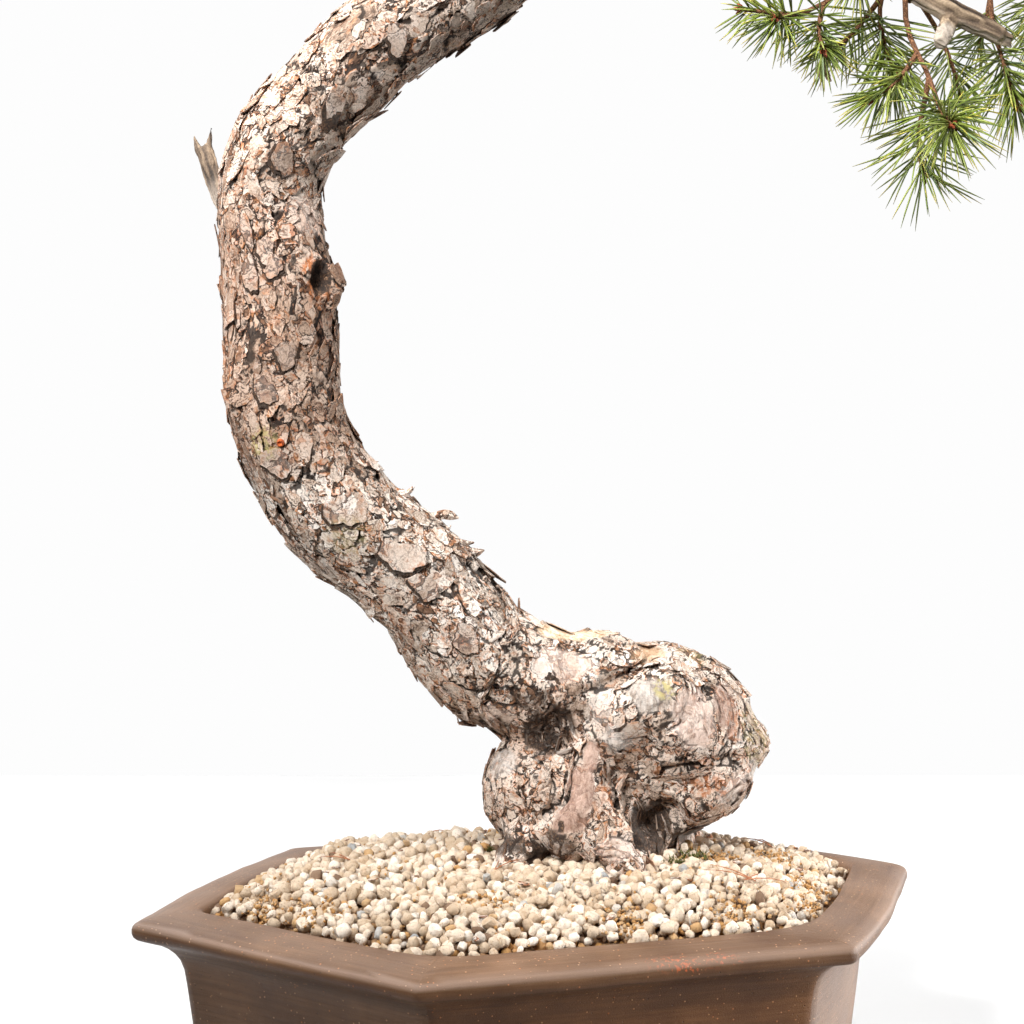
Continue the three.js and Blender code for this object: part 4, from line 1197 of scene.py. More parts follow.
# Ridges (rise above 0) and furrows (below 0) of the burl: points, reach and rise in millimetres
FOLDS = [
    ([(19, 0, 222), (27, -1, 225), (35, 1, 229), (43, 4, 233), (54, 9, 235), (64, 8, 236)], 2.6, -2.6),
    ([(17, 1, 226), (27, 1, 230), (36, 4, 234), (46, 8, 238), (56, 12, 240)], 3.6, 1.6),
    (
        [
            (44, 5, 232), (55, 6, 236), (66, 2, 234), (73, -3, 229), (74, -8, 221), (70, -10, 212),
            (62, -12, 206),
        ],
        2.2, -2.2,
    ),
    ([(46, 2, 228), (58, 0, 232), (68, -8, 226), (68, -11, 217), (60, -13, 211)], 2.0, 1.2),
    ([(78, 4, 232), (82, -2, 224), (80, -8, 216), (75, -10, 206)], 1.8, -0.9),
    ([(86, 7, 226), (89, 3, 220), (91, 1, 213), (90, -2, 205), (88, -6, 198)], 1.8, -1.8),
    ([(92, 14, 227), (96, 11, 220), (98, 7, 213), (98, 3, 204), (96, -1, 197)], 1.8, -1.8),
    (
        [(76, 20, 238), (84, 17, 233), (91, 13, 226), (100, 12, 217), (104, 14, 208), (106, 12, 198)],
        2.4, -2.0,
    ),
    ([(80, 24, 240), (92, 22, 232), (103, 20, 222), (109, 18, 210), (112, 14, 200)], 5.0, 2.2),
    ([(51, -9, 199), (61, -12, 197), (73, -11, 196), (83, -7, 194)], 1.8, -1.5),
    ([(54, -6, 182), (62, -9, 185), (73, -10, 187), (85, -5, 188), (97, -1, 191)], 3.0, -3.0),
    ([(56, 2, 165), (64, 4, 158), (74, 2, 155), (85, 6, 155)], 2.4, -1.8),
    ([(58, -4, 173), (66, -4, 166), (76, -5, 163), (88, -3, 163)], 1.8, -1.1),
    ([(29, -5, 195), (34, -2, 186), (37, 2, 178), (38, -8, 171), (36, -16, 164)], 2.4, -2.4),
    ([(17, -2, 196), (13, -4, 186), (12, -10, 177), (5, -15, 169)], 2.2, -1.8),
    ([(-2, 0, 189), (5, -5, 183), (12, -5, 177), (11, -10, 171), (4, -7, 167)], 3.0, -3.0),
    ([(-6, -4, 183), (0, -9, 178), (5, -12, 173), (0, -12, 168)], 2.6, 1.8),
    (
        [(18, -9, 139), (22, -11, 145), (28, -26, 151), (38, -28, 151), (46, -29, 145), (51, -34, 140)],
        2.2, -1.6,
    ),
    (ROOT_STRIP, 1.8, 1.5),
    ([(26, -25, 140), (31, -28, 144), (36, -31, 145), (42, -33, 142), (47, -37, 137)], 1.6, -1.4),
    ([(9, -2, 209), (14, -3, 199), (16, -4, 190)], 2.4, -1.8),
    ([(-26, 8, 176), (-18, 2, 172), (-8, -4, 172)], 2.2, -1.6),
]
# The knot hole, and the burr beside it that lies closer to the trunk than its solid
KNOT, KNOT_REACH, BURR = (-109, -24, 428), (5.4, 14, 9), (-98, -8, 421)
# Rings round a knob: middle, first and last ring, pitch and rise in millimetres
RINGS = [
    ((53, -11, 224), 5, 22, 3.4, 0.9), ((38, -13, 203), 4, 14, 2.8, 0.8), ((-21, 4, 187), 5, 15, 3.0, 0.7),
]


def knotted(p):
    """How far the knot hole and the burr beside it move each point outwards."""
    far = np.linalg.norm((p - KNOT) / np.array(KNOT_REACH), axis=1) + 0.1 * lumps(p / 3, 130)
    lip = eased(0.75, 1.05, far) * (1 - eased(1.1, 1.5, far))
    burr = 1 - eased(0.3, 1, np.linalg.norm(p - BURR, axis=1) / 12)
    return 1.1 * lip - 4 * (1 - eased(0.45, 0.95, far)) - 2.8 * burr


def folded(p):
    """How far ridges, furrows and rings move each point outwards, and how deep it lies in a furrow and at the
    rings' steps, where shade is painted.
    """
    height, gap = np.zeros(len(p)), np.zeros(len(p))
    wobble = 1 + 0.4 * rough(p / 5, 110, 2)
    for points, reach, rise in FOLDS:
        line = Line(points)
        trail = line.at(np.linspace(0, 1, int(line.length / 1.2) + 2))
        close = np.flatnonzero(((p > trail.min(0) - 9) & (p < trail.max(0) + 9)).all(1))
        far = np.sqrt(((p[close, None] - trail[None]) ** 2).sum(2)).min(1) * wobble[close]
        share = 1 - eased(0, 1, far / (reach * 1.5))
        height[close] += rise * share
        # Furrows get painted shade
        if rise < 0:
            gap[close] = np.maximum(gap[close], (1 - eased(0.04, 0.44, far / reach)) * min(1, -rise / 1.6))
    for middle, first, last, pitch, rise in RINGS:
        far = np.linalg.norm(p - middle, axis=1) + 1.3 * rough(p / 6, 120, 2)
        step = np.mod(far / pitch, 1)
        cover = eased(first - 1, first, far) * (1 - eased(last - 4, last, far))
        height += rise * cover * (step - 0.5)
        gap = np.maximum(gap, cover * eased(0.86, 0.94, step) * 0.8)
    return height, gap


def cut_off(piece, middle, facing, low=-9.0, high=9.0):
    """Takes away what lies in front of a plane between two heights, and closes the cut."""
    edit_all(piece)
    bpy.ops.mesh.bisect(plane_co=middle, plane_no=facing)
    bpy.ops.mesh.select_mode(type="FACE")
    bpy.ops.mesh.select_all(action="DESELECT")
    bpy.ops.object.mode_set(mode="OBJECT")
    middle, facing = Vector(middle), Vector(facing)
    for face in piece.data.polygons:
        face.select = (face.center - middle).dot(facing) > 0 and low < face.center.z < high
    bpy.ops.object.mode_set(mode="EDIT")
    bpy.ops.mesh.delete(type="FACE")
    bpy.ops.mesh.select_all(action="SELECT")
    bpy.ops.mesh.fill_holes(sides=0)
    bpy.ops.object.mode_set(mode="OBJECT")


def refined(piece, voxel, levels, rounds):
    """Even, smooth and fine faces instead of the solid's long ones."""
    take(piece)
    piece.data.remesh_voxel_size = voxel * MM
    bpy.ops.object.voxel_remesh()
    edit_all(piece)
    bpy.ops.mesh.vertices_smooth(factor=0.5, repeat=rounds)
    bpy.ops.object.mode_set(mode="OBJECT")
    if levels:
        finer = piece.modifiers.new("finer", "SUBSURF")
        finer.levels = finer.render_levels = levels
        bpy.ops.object.modifier_apply(modifier=finer.name)
    bpy.ops.object.shade_smooth()


def dress(piece, plate, thickness, straighten):
    """Raises plates, ridges and furrows on a smooth piece of wood and keeps the marks for its finish."""
    p = places(piece.data) / MM
    nearest, straight = limbs.of(p)
    marks = marks_at(p)
    if straighten:
        thin = np.clip(limbs.radius[nearest] / 24, 0.22, 1)
        run = straight * np.array([1, 1, 0.68])
        fold, furrow = knotted(p), np.zeros(len(p))
    else:
        thin = np.ones(len(p))
        run = p * np.array([1, 0.8, 1])
        fold, furrow = folded(p)
    q = run / thin[:, None] + 2.6 * np.stack([rough(p / 9, 20 + 5 * k, 3) for k in range(3)], 1)
    level, rim, gap = plated(q / plate, 30)
    small, small_rim, small_gap_shade = plated((q + 40) / (plate * 0.5), 50)
    rugged = 1 - 0.9 * marks["smooth"]
    # Painted shade on the trunk's undersides, added to the dark mark
    if straighten:
        shade = eased(0.35, 0.9, -(normals(piece.data) @ np.array([0.55, 0.0, 0.83])))
        marks["dark"] = np.maximum(marks["dark"], 0.34 * shade * (0.6 + 0.6 * lumps(p / 8, 140)))
    height = rugged * thickness * (level - 0.55 + 0.22 * (small - 0.6) + 0.14 * rough(p / 2.4, 80, 2))
    height += 0.35 * rough(p / 9, 85, 2) * marks["smooth"]
    n = normals(piece.data)
    move_to(piece.data, (p + n * (height * thin + fold)[:, None]) * MM)
    mark(piece.data, "run", run / np.sqrt(thin)[:, None])
    mark(piece.data, "rim", rugged * np.maximum(rim, 0.6 * small_rim))
    # Painted shadow beside plates and painted shade in furrows
    mark(piece.data, "gap", np.maximum(furrow, rugged * np.maximum(gap, 0.7 * small_gap_shade)))
    for key, values in marks.items():
        mark(piece.data, key, values)
    piece.data.materials.clear()
    piece.data.materials.append(bark)
    take(piece)
    bpy.ops.object.shade_smooth()
    seat(piece, "bark", "trunk")


# Where the burl goes over into the trunk, and the trunk into the crown: a point in metres and the wood's way
NECK, NECK_WAY = Vector((-0.025, 0.024, 0.235)), Vector((-0.887, -0.072, 0.456))
BEND, BEND_WAY = Vector((-0.016, 0.006, 0.588)), Vector((0.757, 0.1, 0.646))
burl = node_copy("trunk", "burl")
cut_off(burl, (0, 0, 0.3), (0, 0, 1))
cut_off(burl, NECK + NECK_WAY * 0.005, NECK_WAY)
cut_off(burl, (0, 0, 0.112), (0, 0, -1))
trunk_bark = node_copy("trunk", "trunk_bark")
cut_off(trunk_bark, NECK, -NECK_WAY, high=0.3)
cut_off(trunk_bark, BEND + BEND_WAY * 0.004, BEND_WAY)
crown = node_copy("trunk", "crown_bark")
cut_off(crown, BEND, -BEND_WAY)
roots = node_copy("trunk", "buried_roots")
cut_off(roots, (0, 0, 0.114), (0, 0, 1))
roots.data.materials.append(root_paint)
seat(roots, "bark", "trunk")
refined(burl, 2.7, 1, 4)
refined(trunk_bark, 2.6, 1, 6)
refined(crown, 3.4, 1, 3)
skin = {"burl": surface_of(burl), "trunk": surface_of(trunk_bark)}
dress(burl, 13, 1.9, False)
dress(trunk_bark, 14, 2.2, True)
dress(crown, 14, 2.2, True)

# Loose scales of bark

# The way the bark runs at places on the burl: the place in millimetres and the way
GRAIN = [
    ((20, 20, 245), (-0.9, 0.1, 0.3)), ((44, 0, 230), (0.8, 0, 0.5)), ((54, -11, 215), (0.7, 0, 0.7)),
    ((75, -5, 220), (0.5, 0.1, -0.8)), ((90, 0, 212), (0.3, 0.2, -0.9)), ((108, 12, 198), (0.1, 0.3, -0.95)),
    ((84, -6, 180), (0.85, 0.1, 0.5)), ((60, -8, 188), (0.9, 0, 0.3)), ((38, -12, 203), (0.3, 0, 0.95)),
    ((20, -13, 176), (0.1, 0, 1)), ((-8, -5, 170), (-0.3, 0, 0.95)), ((-22, 5, 185), (0.2, -0.3, 0.9)),
    ((50, 4, 160), (0.2, -0.3, 0.9)), ((32, -26, 148), (0.3, -0.5, 0.8)), ((-6, 2, 210), (-0.7, 0, 0.7)),
    ((60, 60, 200), (0.8, 0, -0.3)), ((10, 60, 200), (-0.4, 0.2, 0.8)), ((90, 50, 180), (0.5, 0.3, 0.7)),
]


def scale_blank(seed, corners=12, torn=0.19):
    """A torn sheet of bark, 1 by 1, closed all round. Its underside is at height 0 and its face at 1."""
    drop_selection()
    bpy.ops.mesh.primitive_circle_add(vertices=corners, radius=0.5, fill_type="TRIFAN", enter_editmode=True)
    bpy.ops.mesh.select_all(action="SELECT")
    bpy.ops.transform.vertex_random(offset=torn, seed=seed)
    bpy.ops.mesh.extrude_region_move(TRANSFORM_OT_translate={"value": (0, 0, 1)})
    close_up()
    points, faces = blank_of(bpy.context.object)
    face = points[:, 2] > 0.5
    points[:, 2] = face
    points[:, :2] -= points[face, :2].mean(0)
    points[:, :2] /= np.abs(points[:, :2]).max(0) * 2
    return points, faces


def ragged_blank(seed):
    """A sheet with lobes and notches round its edge, for the big plates."""
    points, faces = scale_blank(seed + 60, 26, 0.05)
    bearing = np.arctan2(points[:, 1], points[:, 0])
    lobes = 1 + 0.16 * np.sin(2 * bearing + seed) + 0.12 * np.sin(3 * bearing + 2.3 * seed)
    lobes = lobes + 0.08 * np.sin(7 * bearing + 5 * seed)
    points[:, :2] *= lobes[:, None]
    points[:, :2] /= np.abs(points[:, :2]).max(0) * 2
    return points, faces


def spread_points(piece, count, rng, weight):
    """Random points on a piece's surface."""
    p = places(piece.data) / MM
    tri = triangles(piece.data)
    a, b, c = p[tri[:, 0]], p[tri[:, 1]], p[tri[:, 2]]
    area = np.linalg.norm(np.cross(b - a, c - a), axis=1) * weight((a + b + c) / 3)
    chosen = rng.choice(len(tri), count, p=area / area.sum())
    u, v = rng.random((2, count))
    over = u + v > 1
    u[over], v[over] = 1 - u[over], 1 - v[over]
    return a[chosen] + (b - a)[chosen] * u[:, None] + (c - a)[chosen] * v[:, None]


def snapped(surface, spots):
    """The nearest places on a surface in millimetres, and the way out there."""
    found = [surface.find_nearest(Vector(s) * MM)[:2] for s in spots]
    return np.array([place for place, _ in found]) / MM, np.array([out for _, out in found])


def laid_scales(blanks, spots, outward, ahead, girth, size, width, thick, lift, curl, swing, rng, **tints):
    """Scales laid on the wood. Each follows the limb's roundness, and its far end is lifted and curled."""
    ahead = unit(ahead - outward * (ahead * outward).sum(1, keepdims=True))
    across = np.cross(outward, ahead)
    long_way = ahead * np.cos(swing)[:, None] + across * np.sin(swing)[:, None]
    wide_way = np.cross(outward, long_way)
    laid = []
    for n, (points, faces) in enumerate(blanks):
        mine = slice(n, None, len(blanks))
        each = len(points)
        x = points[None, :, 0] * size[mine, None]
        y = points[None, :, 1] * width[mine, None]
        reach = points[None, :, 0] + 0.5
        offset = long_way[mine][:, None] * x[..., None] + wide_way[mine][:, None] * y[..., None]
        round_way = (offset * across[mine][:, None]).sum(2)
        rise = -(round_way**2) / (2 * girth[mine, None]) + points[None, :, 2] * thick[mine, None]
        rise = rise + (lift[mine, None] * reach + curl[mine, None] * reach**3) * size[mine, None]
        placed = spots[mine][:, None] + offset + outward[mine][:, None] * rise[..., None]
        p, f = copied(placed, faces)
        shift = np.repeat(rng.uniform(0, 900, (len(placed), 3)), each, axis=0)
        marks = {
            "run": shift + np.stack([y, np.broadcast_to(points[None, :, 2], y.shape), x], -1).reshape(-1, 3),
            "rim": np.tile(eased(0.2, 0.4, np.linalg.norm(points[:, :2], axis=1)), len(placed)),
            "under": np.tile(1 - points[:, 2], len(placed)),
            **{key: np.repeat(values[mine], each) for key, values in tints.items()},
        }
        laid.append((p, f, marks))
    return laid


# Big loose plates on the front: place across and up in millimetres, length, width, swing and lift
PLATES = [
    [-88, 318, 24, 20, 0.5, 0.1], [-62, 295, 25, 16, 0.3, 0.12], [-138, 441, 16, 10, 0.1, 0.08],
    [-130, 433, 12, 9, 0.0, 0.1], [-150, 429, 19, 9, 0.1, 0.1], [-147, 449, 20, 6, 0.1, 0.12],
    [-140, 372, 18, 11, 0.2, 0.1], [-118, 388, 16, 12, -0.3, 0.1], [-136, 330, 17, 13, 0.6, 0.1],
    [-47, 272, 20, 14, 0.4, 0.12], [-24, 250, 18, 13, 0.3, 0.1], [-82, 500, 18, 11, 0.7, 0.12],
    [-116, 478, 18, 12, 0.4, 0.12], [-62, 533, 18, 10, 0.9, 0.1],
]


def along_grain(spots):
    """The way the bark runs on the burl, from the guides nearby."""
    guides, aims = np.array([g[0] for g in GRAIN], float), unit(np.array([g[1] for g in GRAIN], float))
    share = np.exp(-((spots[:, None] - guides[None]) ** 2).sum(2) / 22**2)
    return unit(share @ aims + 1e-6)


def make_scales(name, piece, surface, count, on_burl, rng):
    """Loose scales over a piece of wood, the trunk's with its big plates first and the dark sheets under them
    last, as painted shadow.
    """
    blanks = [scale_blank(seed) for seed in range(1, 17)]
    if name == "trunk_scales":
        blanks = [ragged_blank(seed) for seed in range(len(PLATES))] + blanks

    def weight(middle):
        cover = 1 - 0.97 * np.clip(marks_at(middle)["smooth"] * 1.4, 0, 1)
        cover = cover * eased(1.0, 1.4, np.linalg.norm((middle - KNOT) / np.array(KNOT_REACH), axis=1))
        if on_burl:
            return cover * eased(112, 130, middle[:, 2])
        return cover

    spots = spread_points(piece, count, rng, weight)
    _, outward = snapped(surface, spots)
    nearest, _ = limbs.of(spots)
    girth = np.full(count, 34.0) if on_burl else limbs.radius[nearest]
    ahead = along_grain(spots) if on_burl else limbs.ahead[nearest]
    small = np.clip(girth / 24, 0.22, 1)
    size = small * np.minimum(np.exp(rng.normal(math.log(12), 0.36, count)), 24)
    width = size * rng.uniform(0.34, 0.8, count)
    thick = np.clip(0.045 * size, 0.22, 0.5)
    lift = np.abs(rng.normal(0, 0.05, count)) * np.where(rng.random(count) < 0.12, 2.4, 1)
    curl = np.abs(rng.normal(0, 0.03, count)) * np.where(rng.random(count) < 0.1, 3, 1)
    spots = spots + outward * (rng.uniform(-0.5, 0.5, count) * small - 0.1)[:, None]
    swing = rng.normal(0, 0.5, count) + np.where(rng.random(count) < 0.5, math.pi, 0)
    burnt, pale = np.zeros(count), np.zeros(count)
    if name == "trunk_scales":
        # Each big plate has a larger dark sheet under it, set a little lower and to the left, whose edge shows
        # at its lower left as painted shadow
        for first, grown, rise, slip in ((0, 1.0, 1.5, 0), (len(blanks), 1.06, 0.5, 1.5)):
            big = slice(first, first + len(PLATES))
            x, z, size[big], width[big], swing[big], lift[big] = np.array(PLATES).T
            in_front = np.column_stack([x - 0.6 * slip, np.full(len(x), -60.0), z - slip])
            spots[big], outward[big] = snapped(surface, in_front)
            spots[big] += outward[big] * rise
            size[big], width[big], thick[big], curl[big] = size[big] * grown, width[big] * grown, 1.0, 0.03
            burnt[big], pale[big] = (0.8, 0) if first else (0, 0.25)
            ahead[big] = limbs.ahead[limbs.of(spots[big])[0]]
    parts = []
    laid = laid_scales(
        blanks, spots, outward, ahead, girth, size, width, thick, lift, curl, swing, rng,
        burnt=burnt, pale=pale,
    )
    for p, f, marks in laid:
        found = marks_at(p)
        found.pop("smooth")
        # Painted shadow: the sheets under the big plates are dark
        found["dark"] = np.maximum(found["dark"], marks.pop("burnt"))
        found["pink"] = np.maximum(found["pink"], marks.pop("pale"))
        parts.append((p * MM, f, bark, {**found, **marks}))
    seat(gathered(name, parts, 40), "bark", "trunk")


make_scales("trunk_scales", trunk_bark, skin["trunk"], 1150, False, np.random.default_rng(23))
make_scales("burl_scales", burl, skin["burl"], 420, True, np.random.default_rng(24))
make_scales("crown_scales", crown, surface_of(crown), 700, False, np.random.default_rng(25))

# Torn strips of bark that run along the wood


def tube_blank(rings, sides):
    """A straight stick of radius 1 and length 1, drawn up ring by ring and closed at both ends."""
    drop_selection()
    bpy.ops.mesh.primitive_circle_add(vertices=sides, radius=1, fill_type="NGON", enter_editmode=True)
    bpy.ops.mesh.select_all(action="SELECT")
    for _ in range(rings):
        bpy.ops.mesh.extrude_region_move(TRANSFORM_OT_translate={"value": (0, 0, 1 / rings)})
    bpy.ops.mesh.select_all(action="SELECT")
    bpy.ops.mesh.normals_make_consistent(inside=False)
    bpy.ops.mesh.quads_convert_to_tris()
    bpy.ops.object.mode_set(mode="OBJECT")
    return blank_of(bpy.context.object)


STRIP_RINGS = 12
strip_blank = tube_blank(STRIP_RINGS, 4)


def strip(route, surface, width, thick, lift, curl, rng):
    """One torn strip on a route: one long edge is lifted, its far end curls away from the wood."""
    points, faces = strip_blank
    z = np.round(points[:, 2] * STRIP_RINGS).astype(int)
    line = Line(route)
    share = np.linspace(0, 1, STRIP_RINGS + 1)
    spot, out = snapped(surface, line.at(share))
    out = unit(out + 0.6 * np.roll(out, 1, 0) + 0.6 * np.roll(out, -1, 0))
    ahead = unit(np.gradient(spot, axis=0))
    side = unit(np.cross(out, ahead))
    taper = np.minimum(1, 4.5 * np.minimum(share + 0.02, 1.02 - share)) ** 0.6
    wide = width / 2 * taper * rng.uniform(0.65, 1.15, len(share))
    sway = rng.normal(0, 0.12, len(share)) * width
    x, y = points[:, 0], points[:, 1]
    rise = 0.4 + lift * width * (x + 1) / 2 + curl * line.length * share[z] ** 2.4 + y * thick / 2 * taper[z]
    placed = spot[z] + side[z] * (x * wide[z] + sway[z])[:, None] + out[z] * rise[:, None]
    shift = rng.uniform(0, 900, 3)
    marks = {
        "run": shift + np.stack([x * wide[z], y * thick, share[z] * line.length], -1),
        "rim": np.abs(x) * 0.9,
        "under": (y < -0.5) * 1.0,
    }
    return placed, faces, marks


# Routes on the burl in millimetres, with the strips' width and how many lie side by side
ROUTES = [
    ([(17, 1, 226), (27, 1, 230), (36, 4, 234), (46, 8, 238), (56, 12, 240)], 4.2, 7),
    ([(44, 5, 234), (56, 8, 238), (67, 4, 236), (75, -2, 230), (77, -7, 221)], 3.4, 7),
    ([(66, -2, 231), (70, -9, 222), (68, -12, 212), (60, -13, 206)], 3.0, 4),
    ([(85, 7, 228), (91, 3, 218), (91, -1, 206), (87, -6, 197)], 4.0, 5),
    ([(90, 14, 230), (97, 9, 218), (98, 4, 206), (95, -2, 196)], 4.4, 5),
    ([(78, 24, 241), (92, 18, 230), (103, 16, 218), (109, 14, 204), (111, 12, 192)], 5.5, 10),
    ([(104, 20, 222), (111, 16, 208), (114, 14, 194)], 5.5, 6),
    ([(51, -9, 200), (61, -12, 198), (73, -11, 197), (85, -7, 195)], 3.2, 4),
    ([(54, -6, 180), (64, -9, 182), (76, -10, 184), (90, -4, 187)], 3.2, 4),
    ([(55, 2, 168), (66, 0, 160), (78, -2, 158), (92, 2, 164)], 3.4, 6),
    ([(114, 18, 192), (105, 4, 181), (94, -6, 171), (84, -6, 162)], 6.0, 4),
    ([(31, -6, 196), (36, -2, 186), (39, -4, 176), (38, -14, 166)], 3.4, 6),
    ([(15, -2, 196), (12, -6, 186), (10, -11, 177), (3, -15, 168)], 2.8, 4),
    ([(-4, 0, 190), (3, -6, 185), (9, -8, 178), (7, -11, 171)], 4.0, 4),
    ([(20, -14, 141), (26, -26, 149), (36, -30, 151), (46, -31, 146), (53, -38, 138)], 3.4, 6),
    ([(23, -23, 138), (30, -30, 145), (38, -33, 145), (46, -36, 139)], 3.0, 4),
    ([(-28, 8, 178), (-24, 4, 166), (-20, 0, 154), (-14, -8, 146)], 3.4, 7),
    ([(-10, -6, 176), (-6, -8, 164), (-2, -12, 152), (4, -16, 144)], 3.4, 6),
    ([(-14, 2, 222), (-4, -1, 216), (4, 4, 206), (10, 4, 194)], 3.0, 7),
    ([(2, 0, 226), (9, -1, 216), (14, 0, 204), (16, 0, 192)], 3.0, 7),
    ([(44, 0, 170), (48, 4, 160), (54, 0, 150), (60, -10, 140)], 3.0, 9),
    ([(60, 6, 162), (64, 6, 152), (70, 0, 142)], 3.0, 7),
]
# Horn-like flakes that stand out at the trunk's edges: root, middle and tip, each across and up, then
# breadth, depth and how dark
HORNS = [
    [-92.7, 335.9, -88.7, 337.2, -82.3, 338.7, 4, 4, 0.2],
    [-73.8, 324, -75, 328.5, -76.5, 332.7, 5, 4, 0.15],
    [-73.8, 322.5, -67.3, 323.7, -63.5, 327.2, 6.5, 5, 0.15],
    [-68.8, 321, -64.8, 320.5, -60.8, 319, 5, 5, 0.5],
    [-55.8, 310, -48.8, 313.5, -40.8, 311.7, 8.5, 6, 0.3],
    [-49.3, 304, -46.8, 306, -44.8, 307.7, 4, 4, 0.2],
    [-42.3, 296.5, -37.9, 298, -33.4, 298.5, 6, 5, 0.4],
    [-45.8, 296.5, -36.9, 292, -29.4, 293.5, 9, 7, 0.1],
    [-34.4, 291, -29.9, 289, -25.4, 285.5, 5, 5, 0.6],
    [-18.4, 270.9, -15.4, 270.7, -13.4, 269.9, 5, 4, 0.5],
    [-10.9, 265.9, -8.4, 265.9, -6.4, 263.9, 5, 4, 0.3],
    [-98.2, 359.4, -95.7, 356.9, -93.7, 352.4, 5, 5, 0.3],
    [-100.7, 370.8, -98.2, 368.3, -96.7, 363.8, 5, 4, 0.3],
    [-161.6, 468.4, -163.8, 460.5, -164.8, 454.1, 7, 6, 0.75],
    [-161.6, 454.6, -163.1, 447.1, -164.8, 439.2, 5, 5, 0.8],
    [-160.1, 437.8, -161.1, 433.8, -161.6, 428.4, 5, 5, 0.6],
    [-105.7, 414, -103.7, 407.1, -102.2, 396.6, 6, 5, 0.85],
    [-106.2, 396.6, -102.7, 391.2, -101.2, 384.7, 6, 5, 0.2],
    [-104.7, 421.4, -101.7, 423.9, -98.2, 425.9, 4, 3, 0.0],
    [-106.2, 442.7, -103.7, 445.7, -105, 448.6, 4, 4, 0.3],
    [-140.1, 508.8, -144.1, 504.3, -148.1, 499.4, 7, 6, 0.5],
    [-148.1, 500.9, -151.6, 495, -154.1, 488.1, 7, 6, 0.4],
    [-151.1, 489.1, -154.6, 483.2, -157.6, 476.3, 6, 6, 0.4],
    [-156.6, 334.4, -154.6, 329.5, -153.1, 325.5, 5, 5, 0.5],
    [-140.1, 304.5, -137.1, 299.5, -133.1, 295.5, 5, 5, 0.6],
    [-129.7, 299, -126.7, 293.5, -125.2, 288.5, 5, 5, 0.7],
]
# The shaggy hollow between the burl and its roots: middle and reach
HOLLOW, HOLLOW_REACH = (3, 4, 206), (14, 8, 16)


TRUNK_RADIUS = 27


